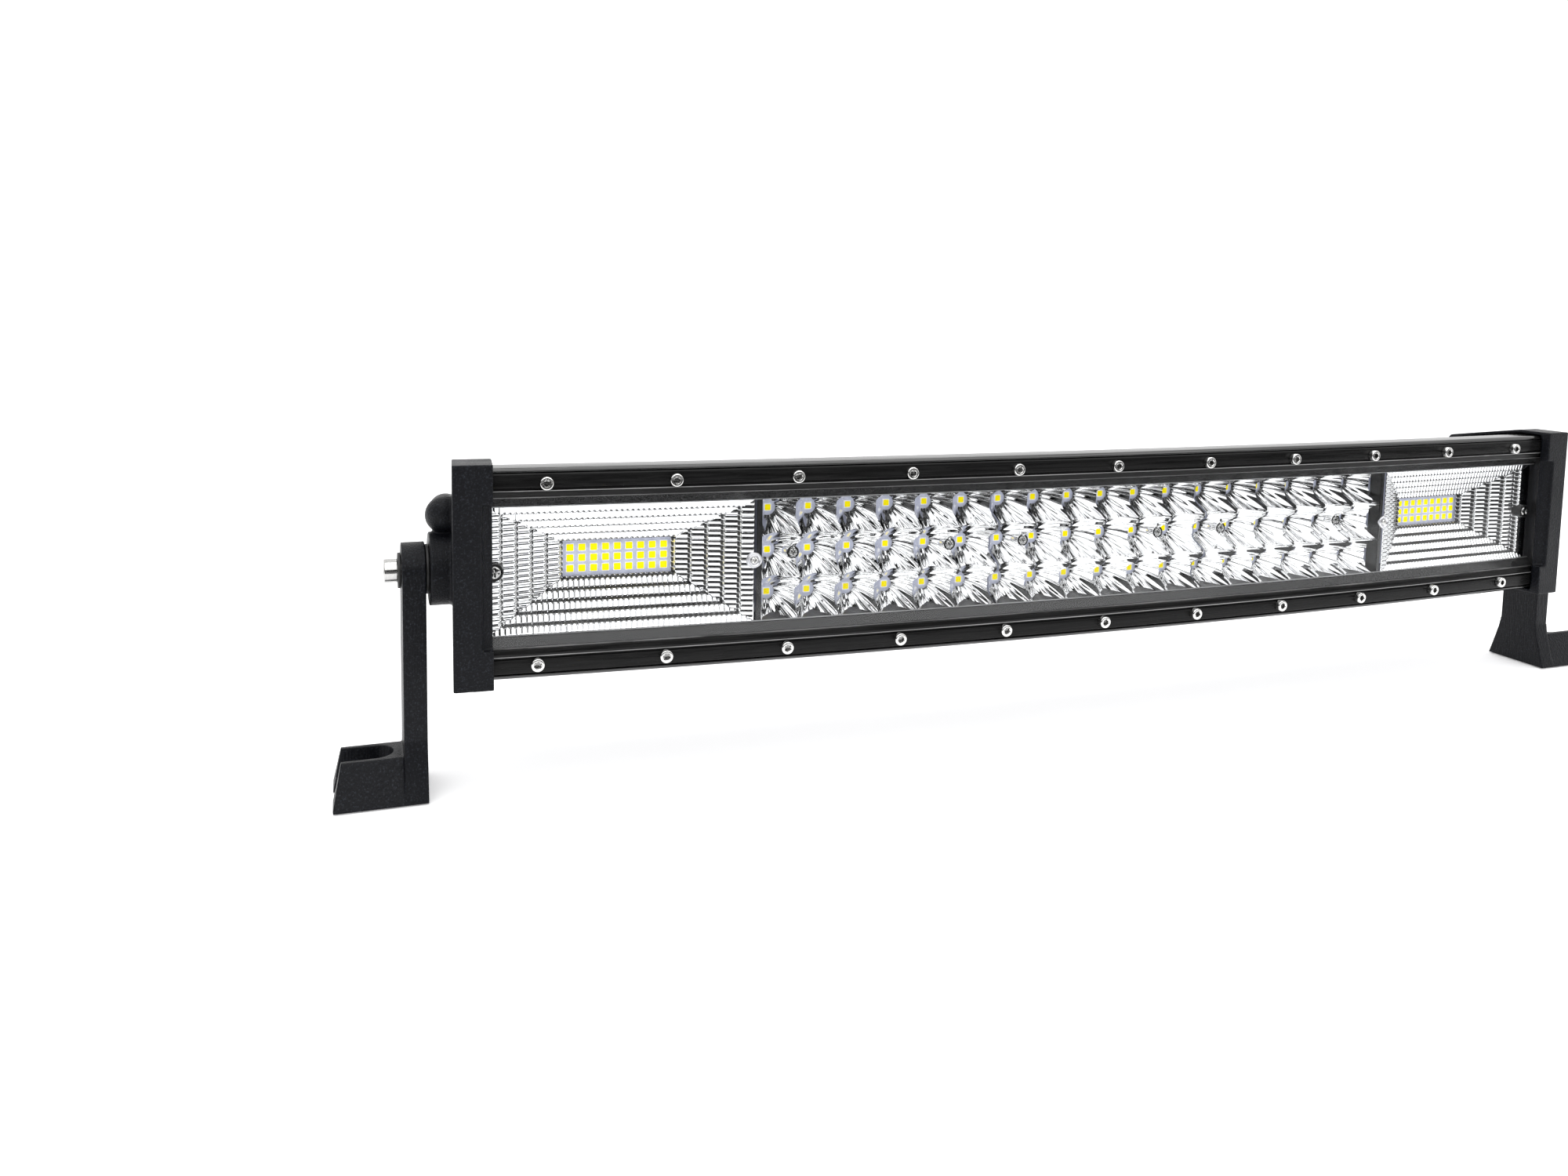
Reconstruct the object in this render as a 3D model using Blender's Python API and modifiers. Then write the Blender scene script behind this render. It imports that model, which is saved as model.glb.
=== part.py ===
"""Curved three-row LED light bar on two swivel feet, one closed solid per piece.

Lengths are written in millimetres and turned into metres when a mesh is made.
+X runs along the bar, the light shines towards -Y, +Z is up, the feet stand on Z = 0.
"""
import math

import bmesh
import bpy
from mathutils import Matrix, Vector

MM = 0.001
BAR_RADIUS = 3350.0
FRONT_Y = -41.35
AXIS_Z = 82.5
ARC_STEPS = 12

CELL = 16.8
COLUMNS = 6
ROWS = 3
MODULE = CELL * COLUMNS
MODULES = 5
LED_DEPTH = 24.1
HALF_ANGLE = MODULE * MODULES / 2 / (BAR_RADIUS - LED_DEPTH)
END_OVERRUN = 1.2
END_ANGLE = HALF_ANGLE + END_OVERRUN / BAR_RADIUS

CAVITY_HALF = 25.6
FLOOR_DEPTH = 26.7
FIN_ROOT = 31.0
FIN_PITCH = 5.6
FINS_PER_HALF = 6
FIN_REACH = 27.0
FIN_ELLIPSE = 37.0
FIN_ROOT_HALF = 1.1
FIN_TIP_HALF = 0.75
HOUSING_HALF = 38.0
HOUSING_FLANK = ((10.4, HOUSING_HALF), (12.4, 36.2), (28.0, 34.4))
LENS_SEAT = (6.6, 29.3)
TRIM_SEAT = (3.5, 36.4)
HOUSING_LIP = 0.4

TRIM_PROFILE = (
    (0.5, 36.1),
    (3.2, 36.1),
    (3.2, 29.6),
    (2.3, 29.6),
    (2.3, 27.4),
    (1.1, 27.4),
    (0.7, 29.2),
    (0.0, 29.9),
    (0.0, 35.6),
)
LENS_SPAN = (2.6, 5.2)
LENS_SEAL_SPAN = (5.5, 6.3)
LENS_HALF = 28.9
SEAL_WINDOW_HALF = 26.2
SEAL_WINDOW_OVERRUN = 0.2

LED_SIZE = 3.0
LED_HEIGHT = 0.7
BOARD_FRONT = LED_DEPTH + LED_HEIGHT
BOARD_THICK = 1.6
FLOOD_COLUMNS = 9
FLOOD_PITCH_X = 4.46
FLOOD_PITCH_Z = 3.98
BOARD_HALF = 25.0
REFLECTOR_BACK = 24.5
RIM_DEPTH = 6.0
SADDLE_DEPTH = 12.5
CUP_HOLE_RADIUS = 2.9
CUP_FOOT_DEPTH = 23.0
FLOOD_STEPS = 5
FLOOD_WINDOW = (21.6, 8.4)
FLOOD_STEP = (4.9, 2.9)
FLOOD_DROP = 3.1
FLOOD_SLOPE = (2.0, 0.8, 2.5)
MODULE_SQUEEZE = 0.996

SCREW_Z = 32.6
SCREW_PITCH = 46.2
SCREWS_PER_TRIM = 11
TOP_SCREW_START = 22.2
BOTTOM_SCREW_START = 19.0
SCREW_HEAD_RADIUS = 2.4
SCREW_HEAD_LENGTH = 2.5
SCREW_SHANK_RADIUS = 1.2
SCREW_SHANK_LENGTH = 8.0
SCREW_HOLE_RADIUS = 1.55
SCREW_SEAT = -0.1
SCREW_KEY_RADIUS = 1.45
SCREW_KEY_DEPTH = 1.5
SCREW_SIDES = 9
HOLE_SIDES = 6

CAP_OUTER = -9.9
CAP_INNER = 3.8
CAP_POCKET = -2.4
CAP_FRONT = -5.0
CAP_PROFILE = (
    (CAP_FRONT, 40.0),
    (11.5, 40.0),
    (34.6, 36.0),
    (49.2, 33.4),
    (54.0, 27.8),
    (58.8, 17.5),
    (61.6, 6.0),
)
POCKET_PROFILE = (
    (-0.4, 38.4),
    (11.2, 38.4),
    (34.3, 34.4),
    (48.2, 31.9),
    (52.4, 27.0),
    (57.0, 16.9),
    (58.6, 5.0),
)
CAP_SEAL_PROFILE = (
    (2.0, 36.2),
    (11.0, 36.2),
    (33.5, 32.4),
    (46.6, 30.0),
    (50.6, 25.8),
    (55.0, 16.4),
    (56.4, 5.0),
)
CAP_SEAL_SPAN = (CAP_POCKET + 0.2, CAP_POCKET + 1.0)
CAP_EDGE = 1.0
COVE_RADIUS = 4.0
COVE_HALF = 26.0
CAP_SCREWS = ((8.0, 32.0), (8.0, -32.0), (28.8, 30.2), (28.8, -30.2))
CAP_SCREW_SINK = 2.7
CAP_SCREW_SINK_RADIUS = 2.9
CAP_SCREW_SINK_SIDES = 12

PIVOT_DEPTH = 22.0
PIVOT_Z = 81.5
BOSS_RADIUS = 13.3
BOSS_ROOT = 256.0
HOOD_RADIUS = 7.0
HOOD_Z = 18.6
HOOD_X = -12.3
HOOD_FRONT = 21.0
HOOD_BACK = 62.0
HOOD_DROP = 7.0
GLAND_Z = HOOD_Z - HOOD_DROP
HOOD_NOSE_STEPS = 5
GLAND_BORE = 4.0
GLAND_BORE_DEPTH = 8.0
GLAND_RADIUS = 6.3
GLAND_THREAD_RADIUS = 5.4
GLAND_NUT_BORE = 4.4
BREATHER_DEPTH = 46.0
BREATHER_STEM_RADIUS = 2.9
BREATHER_RADIUS = 5.2
BREATHER_HOLE_RADIUS = 3.2
FITTING_SIDES = 16

BOSS_FACE = 270.1
INNER_WASHER = (270.3, 271.3)
ARM_X = (271.5, 279.6)
OUTER_WASHER = (279.8, 280.8)
BOLT_HEAD = (281.0, 285.5)
BOLT_TIP = 263.5
BOLT_RADIUS = 2.6
BOLT_HOLE_RADIUS = 2.68
BOLT_HOLE_END = 262.9
BOLT_HEAD_RADIUS = 4.3
BOLT_HEAD_CHAMFER = 0.5
BOLT_KEY_RADIUS = 2.3
BOLT_KEY_DEPTH = 2.6
INNER_WASHER_RADIUS = 9.0
OUTER_WASHER_RADIUS = 6.4
WASHER_SIDES = 24

ARM_RADIUS = 10.0
ARM_STEPS = 12
ARM_EDGE = 0.6
FOOT_EDGE = 0.4
FOOT_OUTER = 303.8
FOOT_TOP_OUTER = 300.9
FOOT_TOP = 15.3
FOOT_TOP_HALF = 8.6
FOOT_BASE_HALF = 16.0
POCKET_RADIUS = 6.4
POCKET_END = 289.4
POCKET_FLOOR = 5.2
SLOT_RADIUS = 4.2
SLOT_END = 288.5
SLOT_STEPS = 20

ROUND_STEPS = 32
PART_NAME = "led_light_bar"


def clear_scene():
    for obj in list(bpy.data.objects):
        bpy.data.objects.remove(obj)


def make_collection(name):
    collection = bpy.data.collections.new(name)
    bpy.context.scene.collection.children.link(collection)
    return collection


def make_material(name, color, metallic, roughness, alpha=1.0):
    material = bpy.data.materials.new(name)
    material.use_nodes = True
    shader = material.node_tree.nodes["Principled BSDF"]
    shader.inputs["Base Color"].default_value = (*color, 1.0)
    shader.inputs["Metallic"].default_value = metallic
    shader.inputs["Roughness"].default_value = roughness
    shader.inputs["Alpha"].default_value = alpha
    return material


def bar_frame(angle):
    """Frame on the trim's front face: X along the bar, Y inwards, Z up from its mid-height."""
    turn = Matrix.Rotation(angle, 4, "Z")
    centre = Matrix.Translation((0, FRONT_Y + BAR_RADIUS, AXIS_Z))
    return centre @ turn @ Matrix.Translation((0, -BAR_RADIUS, 0))


def pivot_point():
    """Point of the hinge line at the bar's middle: both hinges share one straight line."""
    end = bar_frame(HALF_ANGLE) @ Vector((0, PIVOT_DEPTH, 0))
    return Vector((0, end.y, PIVOT_Z))


def mirror_x(bm):
    bmesh.ops.transform(bm, matrix=Matrix.Diagonal((-1, 1, 1, 1)), verts=bm.verts)


def add_piece(name, bm, look, origin=Vector((0, 0, 0)), smooth=False):
    """Store a millimetre mesh as an object in metres with its origin at the given point."""
    bmesh.ops.transform(bm, matrix=Matrix.Translation(-origin), verts=bm.verts)
    bmesh.ops.transform(bm, matrix=Matrix.Diagonal((MM, MM, MM, 1)), verts=bm.verts)
    bmesh.ops.recalc_face_normals(bm, faces=bm.faces)
    mesh = bpy.data.meshes.new(name)
    bm.to_mesh(mesh)
    bm.free()
    if smooth:
        mesh.shade_smooth()
        mesh.set_sharp_from_angle(angle=math.radians(35))
    obj = bpy.data.objects.new(name, mesh)
    obj.location = origin * MM
    if look is not None:
        obj.data.materials.append(make_material(name, *look))
    return obj


def show(obj, collection):
    collection.objects.link(obj)
    return obj


def add_cutter(name, bm, collection):
    cutter = add_piece(name, bm, None)
    collection.objects.link(cutter)
    cutter.display_type = "WIRE"
    cutter.hide_render = True
    return cutter


def boolean(obj, other, operation):
    modifier = obj.modifiers.new(operation.lower(), "BOOLEAN")
    modifier.operation = operation
    modifier.solver = "EXACT"
    modifier.object = other


def bevel(obj, width, segments=1):
    modifier = obj.modifiers.new("bevel", "BEVEL")
    modifier.width = width * MM
    modifier.segments = segments
    modifier.limit_method = "ANGLE"
    modifier.angle_limit = math.radians(40)


def add_box(bm, low, high):
    size = Vector(high) - Vector(low)
    middle = (Vector(high) + Vector(low)) / 2
    place = Matrix.Translation(middle) @ Matrix.Diagonal((*size, 1))
    bmesh.ops.create_cube(bm, size=1, matrix=place)


def add_rod(bm, radius, start, end, segments=ROUND_STEPS):
    """Closed cylinder between two points."""
    start = Vector(start)
    line = Vector(end) - start
    turn = line.to_track_quat("Z", "Y").to_matrix().to_4x4()
    place = Matrix.Translation(start + line / 2) @ turn
    bmesh.ops.create_cone(bm, cap_ends=True, segments=segments, radius1=radius,
                          radius2=radius, depth=line.length, matrix=place)


def turned(points, closed=False, segments=ROUND_STEPS):
    """Solid of revolution about Z from (radius, height) points."""
    bm = bmesh.new()
    verts = [bm.verts.new((radius, 0, height)) for radius, height in points]
    pairs = list(zip(verts, verts[1:]))
    if closed:
        pairs.append((verts[-1], verts[0]))
    edges = [bm.edges.new(pair) for pair in pairs]
    bmesh.ops.spin(bm, geom=verts + edges, cent=(0, 0, 0), axis=(0, 0, 1),
                   angle=math.tau, steps=segments, use_merge=True)
    bmesh.ops.remove_doubles(bm, verts=bm.verts, dist=MM)
    return bm


def swept(section, end_angle):
    """Bend a (depth, height) section along the bar between plus and minus end_angle."""
    bm = bmesh.new()
    frame = bar_frame(-end_angle)
    verts = [bm.verts.new(frame @ Vector((0, depth, height))) for depth, height in section]
    face = bm.faces.new(verts)
    geom = [face, *face.edges, *verts]
    bmesh.ops.spin(bm, geom=geom, cent=(0, FRONT_Y + BAR_RADIUS, 0), axis=(0, 0, 1),
                   angle=2 * end_angle, steps=ARC_STEPS)
    bmesh.ops.remove_doubles(bm, verts=bm.verts, dist=MM)
    return bm


def plate(section, x_from, x_to):
    """Straight prism of a (depth, height) section along X."""
    bm = bmesh.new()
    verts = [bm.verts.new((x_from, depth, height)) for depth, height in section]
    face = bm.faces.new(verts)
    result = bmesh.ops.extrude_face_region(bm, geom=[face])
    moved = [item for item in result["geom"] if isinstance(item, bmesh.types.BMVert)]
    bmesh.ops.translate(bm, verts=moved, vec=(x_to - x_from, 0, 0))
    return bm


def flat_section(front, back, half):
    """Rectangle between two depths, centred on the mid-height."""
    return [(front, half), (back, half), (back, -half), (front, -half)]


def both_halves(upper):
    """Add the mirrored lower half to the upper half of a section."""
    lower = [(depth, -height) for depth, height in reversed(upper)]
    return list(upper) + lower


def fin_tip(height):
    return FIN_ROOT + FIN_REACH * math.sqrt(1 - (height / FIN_ELLIPSE) ** 2)


def housing_section():
    """Front channel with trim and lens seats, then a row of cooling fins behind."""
    upper = [
        (FLOOR_DEPTH, CAVITY_HALF),
        (LENS_SEAT[0], CAVITY_HALF),
        LENS_SEAT,
        (TRIM_SEAT[0], LENS_SEAT[1]),
        TRIM_SEAT,
        (HOUSING_LIP, TRIM_SEAT[1]),
        (HOUSING_LIP, HOUSING_HALF - 1.0),
        (HOUSING_LIP + 1.0, HOUSING_HALF),
        *HOUSING_FLANK,
    ]
    for index in reversed(range(FINS_PER_HALF)):
        height = FIN_PITCH * (index + 0.5)
        tip = fin_tip(height)
        upper += [
            (FIN_ROOT, height + FIN_ROOT_HALF),
            (tip, height + FIN_TIP_HALF),
            (tip, height - FIN_TIP_HALF),
            (FIN_ROOT, height - FIN_ROOT_HALF),
        ]
    return both_halves(upper)


def trim_section(sign):
    """Clamping trim: a screwed strip with a thin lip over the lens edge."""
    return [(depth, sign * height) for depth, height in TRIM_PROFILE]


def screw_frames():
    """Frames at every trim screw, with the name of the trim it holds."""
    frames = []
    rows = (("top", TOP_SCREW_START, SCREW_Z), ("bottom", BOTTOM_SCREW_START, -SCREW_Z))
    for row, start, height in rows:
        for index in range(SCREWS_PER_TRIM):
            angle = (start + SCREW_PITCH * index) / BAR_RADIUS - HALF_ANGLE
            frame = bar_frame(angle) @ Matrix.Translation((0, 0, height))
            frames.append((f"{row}_trim_screw_{index + 1:02d}", frame))
    return frames


def screw_body():
    """Socket screw along Z: the head's seat at 0, the shank running to minus Z."""
    points = [
        (0, -SCREW_SHANK_LENGTH),
        (SCREW_SHANK_RADIUS, -SCREW_SHANK_LENGTH),
        (SCREW_SHANK_RADIUS, 0),
        (SCREW_HEAD_RADIUS, 0),
        (SCREW_HEAD_RADIUS, SCREW_HEAD_LENGTH),
        (0, SCREW_HEAD_LENGTH),
    ]
    return turned(points, segments=SCREW_SIDES)


def key_socket(bm, radius, depth, top, place):
    """Hexagonal key recess below the given height, open past the head."""
    middle = Matrix.Translation((0, 0, top - depth / 2 + 0.5))
    bmesh.ops.create_cone(bm, cap_ends=True, segments=6, radius1=radius, radius2=radius,
                          depth=depth + 1, matrix=place @ middle)


def face_front(frame, seat):
    """Turn a piece built along Z to look out of the bar's front, seated at a depth."""
    return frame @ Matrix.Translation((0, seat, 0)) @ Matrix.Rotation(math.radians(90), 4, "X")


def end_frame():
    """Bar frame at the left-hand edge of the first module."""
    return bar_frame(-HALF_ANGLE)


def face_left(spot, seat):
    """Turn a piece built along Z to look out of the left end cap, seated at seat."""
    depth, height = spot
    return (end_frame() @ Matrix.Translation((seat, depth, height))
            @ Matrix.Rotation(math.radians(-90), 4, "Y"))


def build_screws(shown, cutters):
    sockets = bmesh.new()
    frames = [(name, face_front(frame, SCREW_SEAT)) for name, frame in screw_frames()]
    for side in ("left", "right"):
        for index, spot in enumerate(CAP_SCREWS):
            place = face_left(spot, CAP_OUTER + CAP_SCREW_SINK + SCREW_SEAT)
            if side == "right":
                place = Matrix.Diagonal((-1, 1, 1, 1)) @ place
            frames.append((f"{side}_cap_screw_{index + 1}", place))
    for name, place in frames:
        key_socket(sockets, SCREW_KEY_RADIUS, SCREW_KEY_DEPTH, SCREW_HEAD_LENGTH, place)
    cutter = add_cutter("cut_screw_sockets", sockets, cutters)
    for name, place in frames:
        bm = screw_body()
        bmesh.ops.transform(bm, matrix=place, verts=bm.verts)
        screw = show(add_piece(name, bm, ((0.62, 0.62, 0.60), 1.0, 0.3), smooth=True), shown)
        boolean(screw, cutter, "DIFFERENCE")


def build_housing(shown, cutters):
    bm = swept(housing_section(), END_ANGLE)
    housing = show(add_piece("housing", bm, ((0.02, 0.02, 0.022), 0.6, 0.42)), shown)
    holes = bmesh.new()
    for name, frame in screw_frames():
        start = frame @ Vector((0, TRIM_SEAT[0] - 1, 0))
        end = frame @ Vector((0, SCREW_SHANK_LENGTH + 0.6, 0))
        add_rod(holes, SCREW_HOLE_RADIUS, start, end, HOLE_SIDES)
    left = end_frame()
    flip = Matrix.Diagonal((-1, 1, 1, 1))
    tip = CAP_OUTER + CAP_SCREW_SINK + SCREW_SHANK_LENGTH
    for depth, height in CAP_SCREWS:
        start = left @ Vector((-END_OVERRUN - 3, depth, height))
        end = left @ Vector((tip + 0.6, depth, height))
        add_rod(holes, SCREW_HOLE_RADIUS, start, end, HOLE_SIDES)
        add_rod(holes, SCREW_HOLE_RADIUS, flip @ start, flip @ end, HOLE_SIDES)
    boolean(housing, add_cutter("cut_housing_holes", holes, cutters), "DIFFERENCE")


def build_trims(shown, cutters):
    holes = bmesh.new()
    for name, frame in screw_frames():
        start = frame @ Vector((0, -1, 0))
        end = frame @ Vector((0, TRIM_SEAT[0] + 1, 0))
        add_rod(holes, SCREW_HOLE_RADIUS, start, end, HOLE_SIDES)
    cutter = add_cutter("cut_trim_holes", holes, cutters)
    for name, sign in (("top_trim", 1), ("bottom_trim", -1)):
        bm = swept(trim_section(sign), END_ANGLE)
        trim = show(add_piece(name, bm, ((0.015, 0.015, 0.017), 0.5, 0.35)), shown)
        boolean(trim, cutter, "DIFFERENCE")


def build_lens(shown, cutters):
    look = ((0.95, 0.97, 1.0), 0.0, 0.05, 0.25)
    sheet = swept(flat_section(*LENS_SPAN, LENS_HALF), END_ANGLE)
    show(add_piece("lens", sheet, look), shown)
    ring = swept(flat_section(*LENS_SEAL_SPAN, LENS_HALF), END_ANGLE)
    seal = show(add_piece("lens_seal", ring, ((0.02, 0.02, 0.02), 0, 0.8)), shown)
    low, high = LENS_SEAL_SPAN
    window_angle = HALF_ANGLE + SEAL_WINDOW_OVERRUN / BAR_RADIUS
    window = swept(flat_section(low - 1, high + 1, SEAL_WINDOW_HALF), window_angle)
    boolean(seal, add_cutter("cut_lens_seal", window, cutters), "DIFFERENCE")


def module_angle(index):
    return (index - (MODULES - 1) / 2) * MODULE / (BAR_RADIUS - LED_DEPTH)


def add_ring(bm, half_x, half_z, depth):
    corners = ((-1, -1), (1, -1), (1, 1), (-1, 1))
    return [bm.verts.new((half_x * x, depth, half_z * z)) for x, z in corners]


def bridge(bm, first, second):
    count = len(first)
    for index in range(count):
        after = (index + 1) % count
        bm.faces.new((first[index], first[after], second[after], second[index]))


def flood_reflector():
    """Rectangular funnel that drops to the LED window in equal steps."""
    bm = bmesh.new()
    rings = [add_ring(bm, MODULE / 2, CELL * 1.5, REFLECTOR_BACK)]
    rings.append(add_ring(bm, MODULE / 2, CELL * 1.5, RIM_DEPTH))
    slope_x, slope_z, slope_depth = FLOOD_SLOPE
    for step in range(FLOOD_STEPS + 1):
        half_x = FLOOD_WINDOW[0] + FLOOD_STEP[0] * (FLOOD_STEPS - step)
        half_z = FLOOD_WINDOW[1] + FLOOD_STEP[1] * (FLOOD_STEPS - step)
        depth = RIM_DEPTH + FLOOD_DROP * step
        rings.append(add_ring(bm, half_x + slope_x, half_z + slope_z, depth))
        rings.append(add_ring(bm, half_x, half_z, depth + slope_depth))
    rings.append(add_ring(bm, *FLOOD_WINDOW, REFLECTOR_BACK))
    for first, second in zip(rings, rings[1:]):
        bridge(bm, first, second)
    bridge(bm, rings[-1], rings[0])
    return bm


def cell_ring(bm, centre, reach, depths):
    """Eight points round a square cell: corners and side middles take their own depth."""
    x, z = centre
    signs = ((-1, -1), (0, -1), (1, -1), (1, 0), (1, 1), (0, 1), (-1, 1), (-1, 0))
    ring = []
    for index, (across, up) in enumerate(signs):
        depth = depths[index % 2]
        ring.append(bm.verts.new((x + reach * across, depth, z + reach * up)))
    return ring


def hole_ring(bm, centre, radius, depth):
    x, z = centre
    ring = []
    for index in range(8):
        angle = math.radians(45 * index - 135)
        ring.append(bm.verts.new((x + radius * math.cos(angle), depth, z + radius * math.sin(angle))))
    return ring


def spot_reflector():
    """Block of square cups, each open at its foot for one LED."""
    bm = bmesh.new()
    for column in range(COLUMNS):
        for row in range(ROWS):
            centre = (CELL * (column - 2.5), CELL * (row - 1))
            rim = cell_ring(bm, centre, CELL / 2, (RIM_DEPTH, SADDLE_DEPTH))
            foot = hole_ring(bm, centre, CUP_HOLE_RADIUS, CUP_FOOT_DEPTH)
            hole = hole_ring(bm, centre, CUP_HOLE_RADIUS, REFLECTOR_BACK)
            back = cell_ring(bm, centre, CELL / 2, (REFLECTOR_BACK, REFLECTOR_BACK))
            bridge(bm, rim, foot)
            bridge(bm, foot, hole)
            bridge(bm, hole, back)
    bmesh.ops.remove_doubles(bm, verts=bm.verts, dist=MM)
    border = [edge for edge in bm.edges if edge.is_boundary]
    bmesh.ops.bridge_loops(bm, edges=border)
    return bm


def led_board(spots):
    """Board with a raised package at every LED position."""
    bm = bmesh.new()
    half = LED_SIZE / 2
    back = BOARD_FRONT + BOARD_THICK
    add_box(bm, (-MODULE / 2, BOARD_FRONT, -BOARD_HALF), (MODULE / 2, back, BOARD_HALF))
    packages = bmesh.new()
    for x, z in spots:
        add_box(packages, (x - half, LED_DEPTH, z - half), (x + half, BOARD_FRONT + 0.5, z + half))
    return bm, packages


def flood_spots():
    columns = range(FLOOD_COLUMNS)
    return [(FLOOD_PITCH_X * (i - 4), FLOOD_PITCH_Z * (j - 1)) for i in columns for j in range(ROWS)]


def cup_spots():
    return [(CELL * (i - 2.5), CELL * (j - 1)) for i in range(COLUMNS) for j in range(ROWS)]


def build_modules(shown, cutters):
    names = ("left_flood", "left_spot", "middle_spot", "right_spot", "right_flood")
    squeeze = Matrix.Diagonal((MODULE_SQUEEZE, 1, 1, 1))
    for index, name in enumerate(names):
        flood = name.endswith("flood")
        place = bar_frame(module_angle(index)) @ squeeze
        bm = flood_reflector() if flood else spot_reflector()
        bmesh.ops.transform(bm, matrix=place, verts=bm.verts)
        show(add_piece(f"{name}_reflector", bm, ((0.85, 0.86, 0.88), 1.0, 0.08)), shown)
        bm, packages = led_board(flood_spots() if flood else cup_spots())
        bmesh.ops.transform(bm, matrix=place, verts=bm.verts)
        bmesh.ops.transform(packages, matrix=place, verts=packages.verts)
        board = show(add_piece(f"{name}_led_board", bm, ((0.85, 0.86, 0.9), 0.0, 0.5)), shown)
        boolean(board, add_cutter(f"add_{name}_leds", packages, cutters), "UNION")


def move_to_end(bm, side):
    bmesh.ops.transform(bm, matrix=end_frame(), verts=bm.verts)
    if side == "right":
        mirror_x(bm)


def boss_rod(bm, side, radius, x_from, x_to, segments=ROUND_STEPS):
    """Rod along the hinge axis between two distances from the bar's middle."""
    sign = -1 if side == "left" else 1
    centre = pivot_point()
    start = Vector((sign * x_from, centre.y, centre.z))
    end = Vector((sign * x_to, centre.y, centre.z))
    add_rod(bm, radius, start, end, segments)


def cap_screw_cuts():
    """Clearance hole and counterbore of every cap screw, for the left end."""
    points = [
        (0, -SCREW_SHANK_LENGTH),
        (SCREW_HOLE_RADIUS, -SCREW_SHANK_LENGTH),
        (SCREW_HOLE_RADIUS, 0),
        (CAP_SCREW_SINK_RADIUS, 0),
        (CAP_SCREW_SINK_RADIUS, CAP_SCREW_SINK + 3),
        (0, CAP_SCREW_SINK + 3),
    ]
    cuts = bmesh.new()
    for spot in CAP_SCREWS:
        bm = turned(points, segments=CAP_SCREW_SINK_SIDES)
        bmesh.ops.transform(bm, matrix=face_left(spot, CAP_OUTER + CAP_SCREW_SINK), verts=bm.verts)
        mesh = bpy.data.meshes.new("cut")
        bm.to_mesh(mesh)
        bm.free()
        cuts.from_mesh(mesh)
    return cuts


def cap_cove():
    """Hollow along the cap's inner front edge, in the left end's frame."""
    bm = bmesh.new()
    low = (CAP_INNER, CAP_FRONT, -COVE_HALF)
    high = (CAP_INNER, CAP_FRONT, COVE_HALF)
    add_rod(bm, COVE_RADIUS, low, high, 20)
    return bm


def fitting_bore(side):
    """Cable bore in the left cap's hood, or breather hole in the right cap."""
    bm = bmesh.new()
    if side == "left":
        start = (HOOD_X, HOOD_BACK - GLAND_BORE_DEPTH, GLAND_Z)
        add_rod(bm, GLAND_BORE, start, (HOOD_X, HOOD_BACK + 3, GLAND_Z), FITTING_SIDES)
    else:
        start = (CAP_OUTER - 3, BREATHER_DEPTH, 0)
        end = (CAP_OUTER + BREATHER_HOLE_RADIUS, BREATHER_DEPTH, 0)
        add_rod(bm, BREATHER_HOLE_RADIUS, start, end, FITTING_SIDES)
    return bm


def build_cap(side, shown, cutters):
    bm = plate(both_halves(CAP_PROFILE), CAP_OUTER, CAP_INNER)
    move_to_end(bm, side)
    cap = show(add_piece(f"{side}_end_cap", bm, ((0.02, 0.02, 0.021), 0.2, 0.5)), shown)
    bevel(cap, CAP_EDGE, 2)
    pocket = plate(both_halves(POCKET_PROFILE), CAP_POCKET, CAP_INNER + 2)
    cove = cap_cove()
    bore = fitting_bore(side)
    for tool in (pocket, cove, bore):
        move_to_end(tool, side)
    screws = cap_screw_cuts()
    if side == "right":
        mirror_x(screws)
    boss = bmesh.new()
    boss_rod(boss, side, BOSS_RADIUS, BOSS_ROOT, BOSS_FACE)
    bolt_hole = bmesh.new()
    boss_rod(bolt_hole, side, BOLT_HOLE_RADIUS, BOLT_HOLE_END, BOSS_FACE + 5)
    steps = [("pocket", pocket, "DIFFERENCE"), ("cove", cove, "DIFFERENCE"), ("boss", boss, "UNION")]
    if side == "left":
        hood = cable_hood()
        move_to_end(hood, side)
        steps.append(("hood", hood, "UNION"))
    steps += [
        ("bolt_hole", bolt_hole, "DIFFERENCE"),
        ("screws", screws, "DIFFERENCE"),
        ("bore", bore, "DIFFERENCE"),
    ]
    for name, tool, operation in steps:
        boolean(cap, add_cutter(f"{side}_cap_{name}", tool, cutters), operation)


def cable_hood():
    """Round-nosed housing on the left cap that turns the cable rearwards and falls towards the back."""
    length = HOOD_BACK - HOOD_FRONT
    points = [(0, 0), (HOOD_RADIUS, 0), (HOOD_RADIUS, length)]
    for step in range(1, HOOD_NOSE_STEPS):
        angle = math.pi / 2 * step / HOOD_NOSE_STEPS
        points.append((HOOD_RADIUS * math.cos(angle), length + HOOD_RADIUS * math.sin(angle)))
    points.append((0, length + HOOD_RADIUS))
    bm = turned(points, segments=24)
    place = Matrix.Translation((HOOD_X, HOOD_BACK, GLAND_Z)) @ Matrix.Rotation(math.radians(90), 4, "X")
    bmesh.ops.transform(bm, matrix=place, verts=bm.verts)
    for vert in bm.verts:
        vert.co.z += HOOD_DROP * (HOOD_BACK - vert.co.y) / length
    return bm


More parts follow.
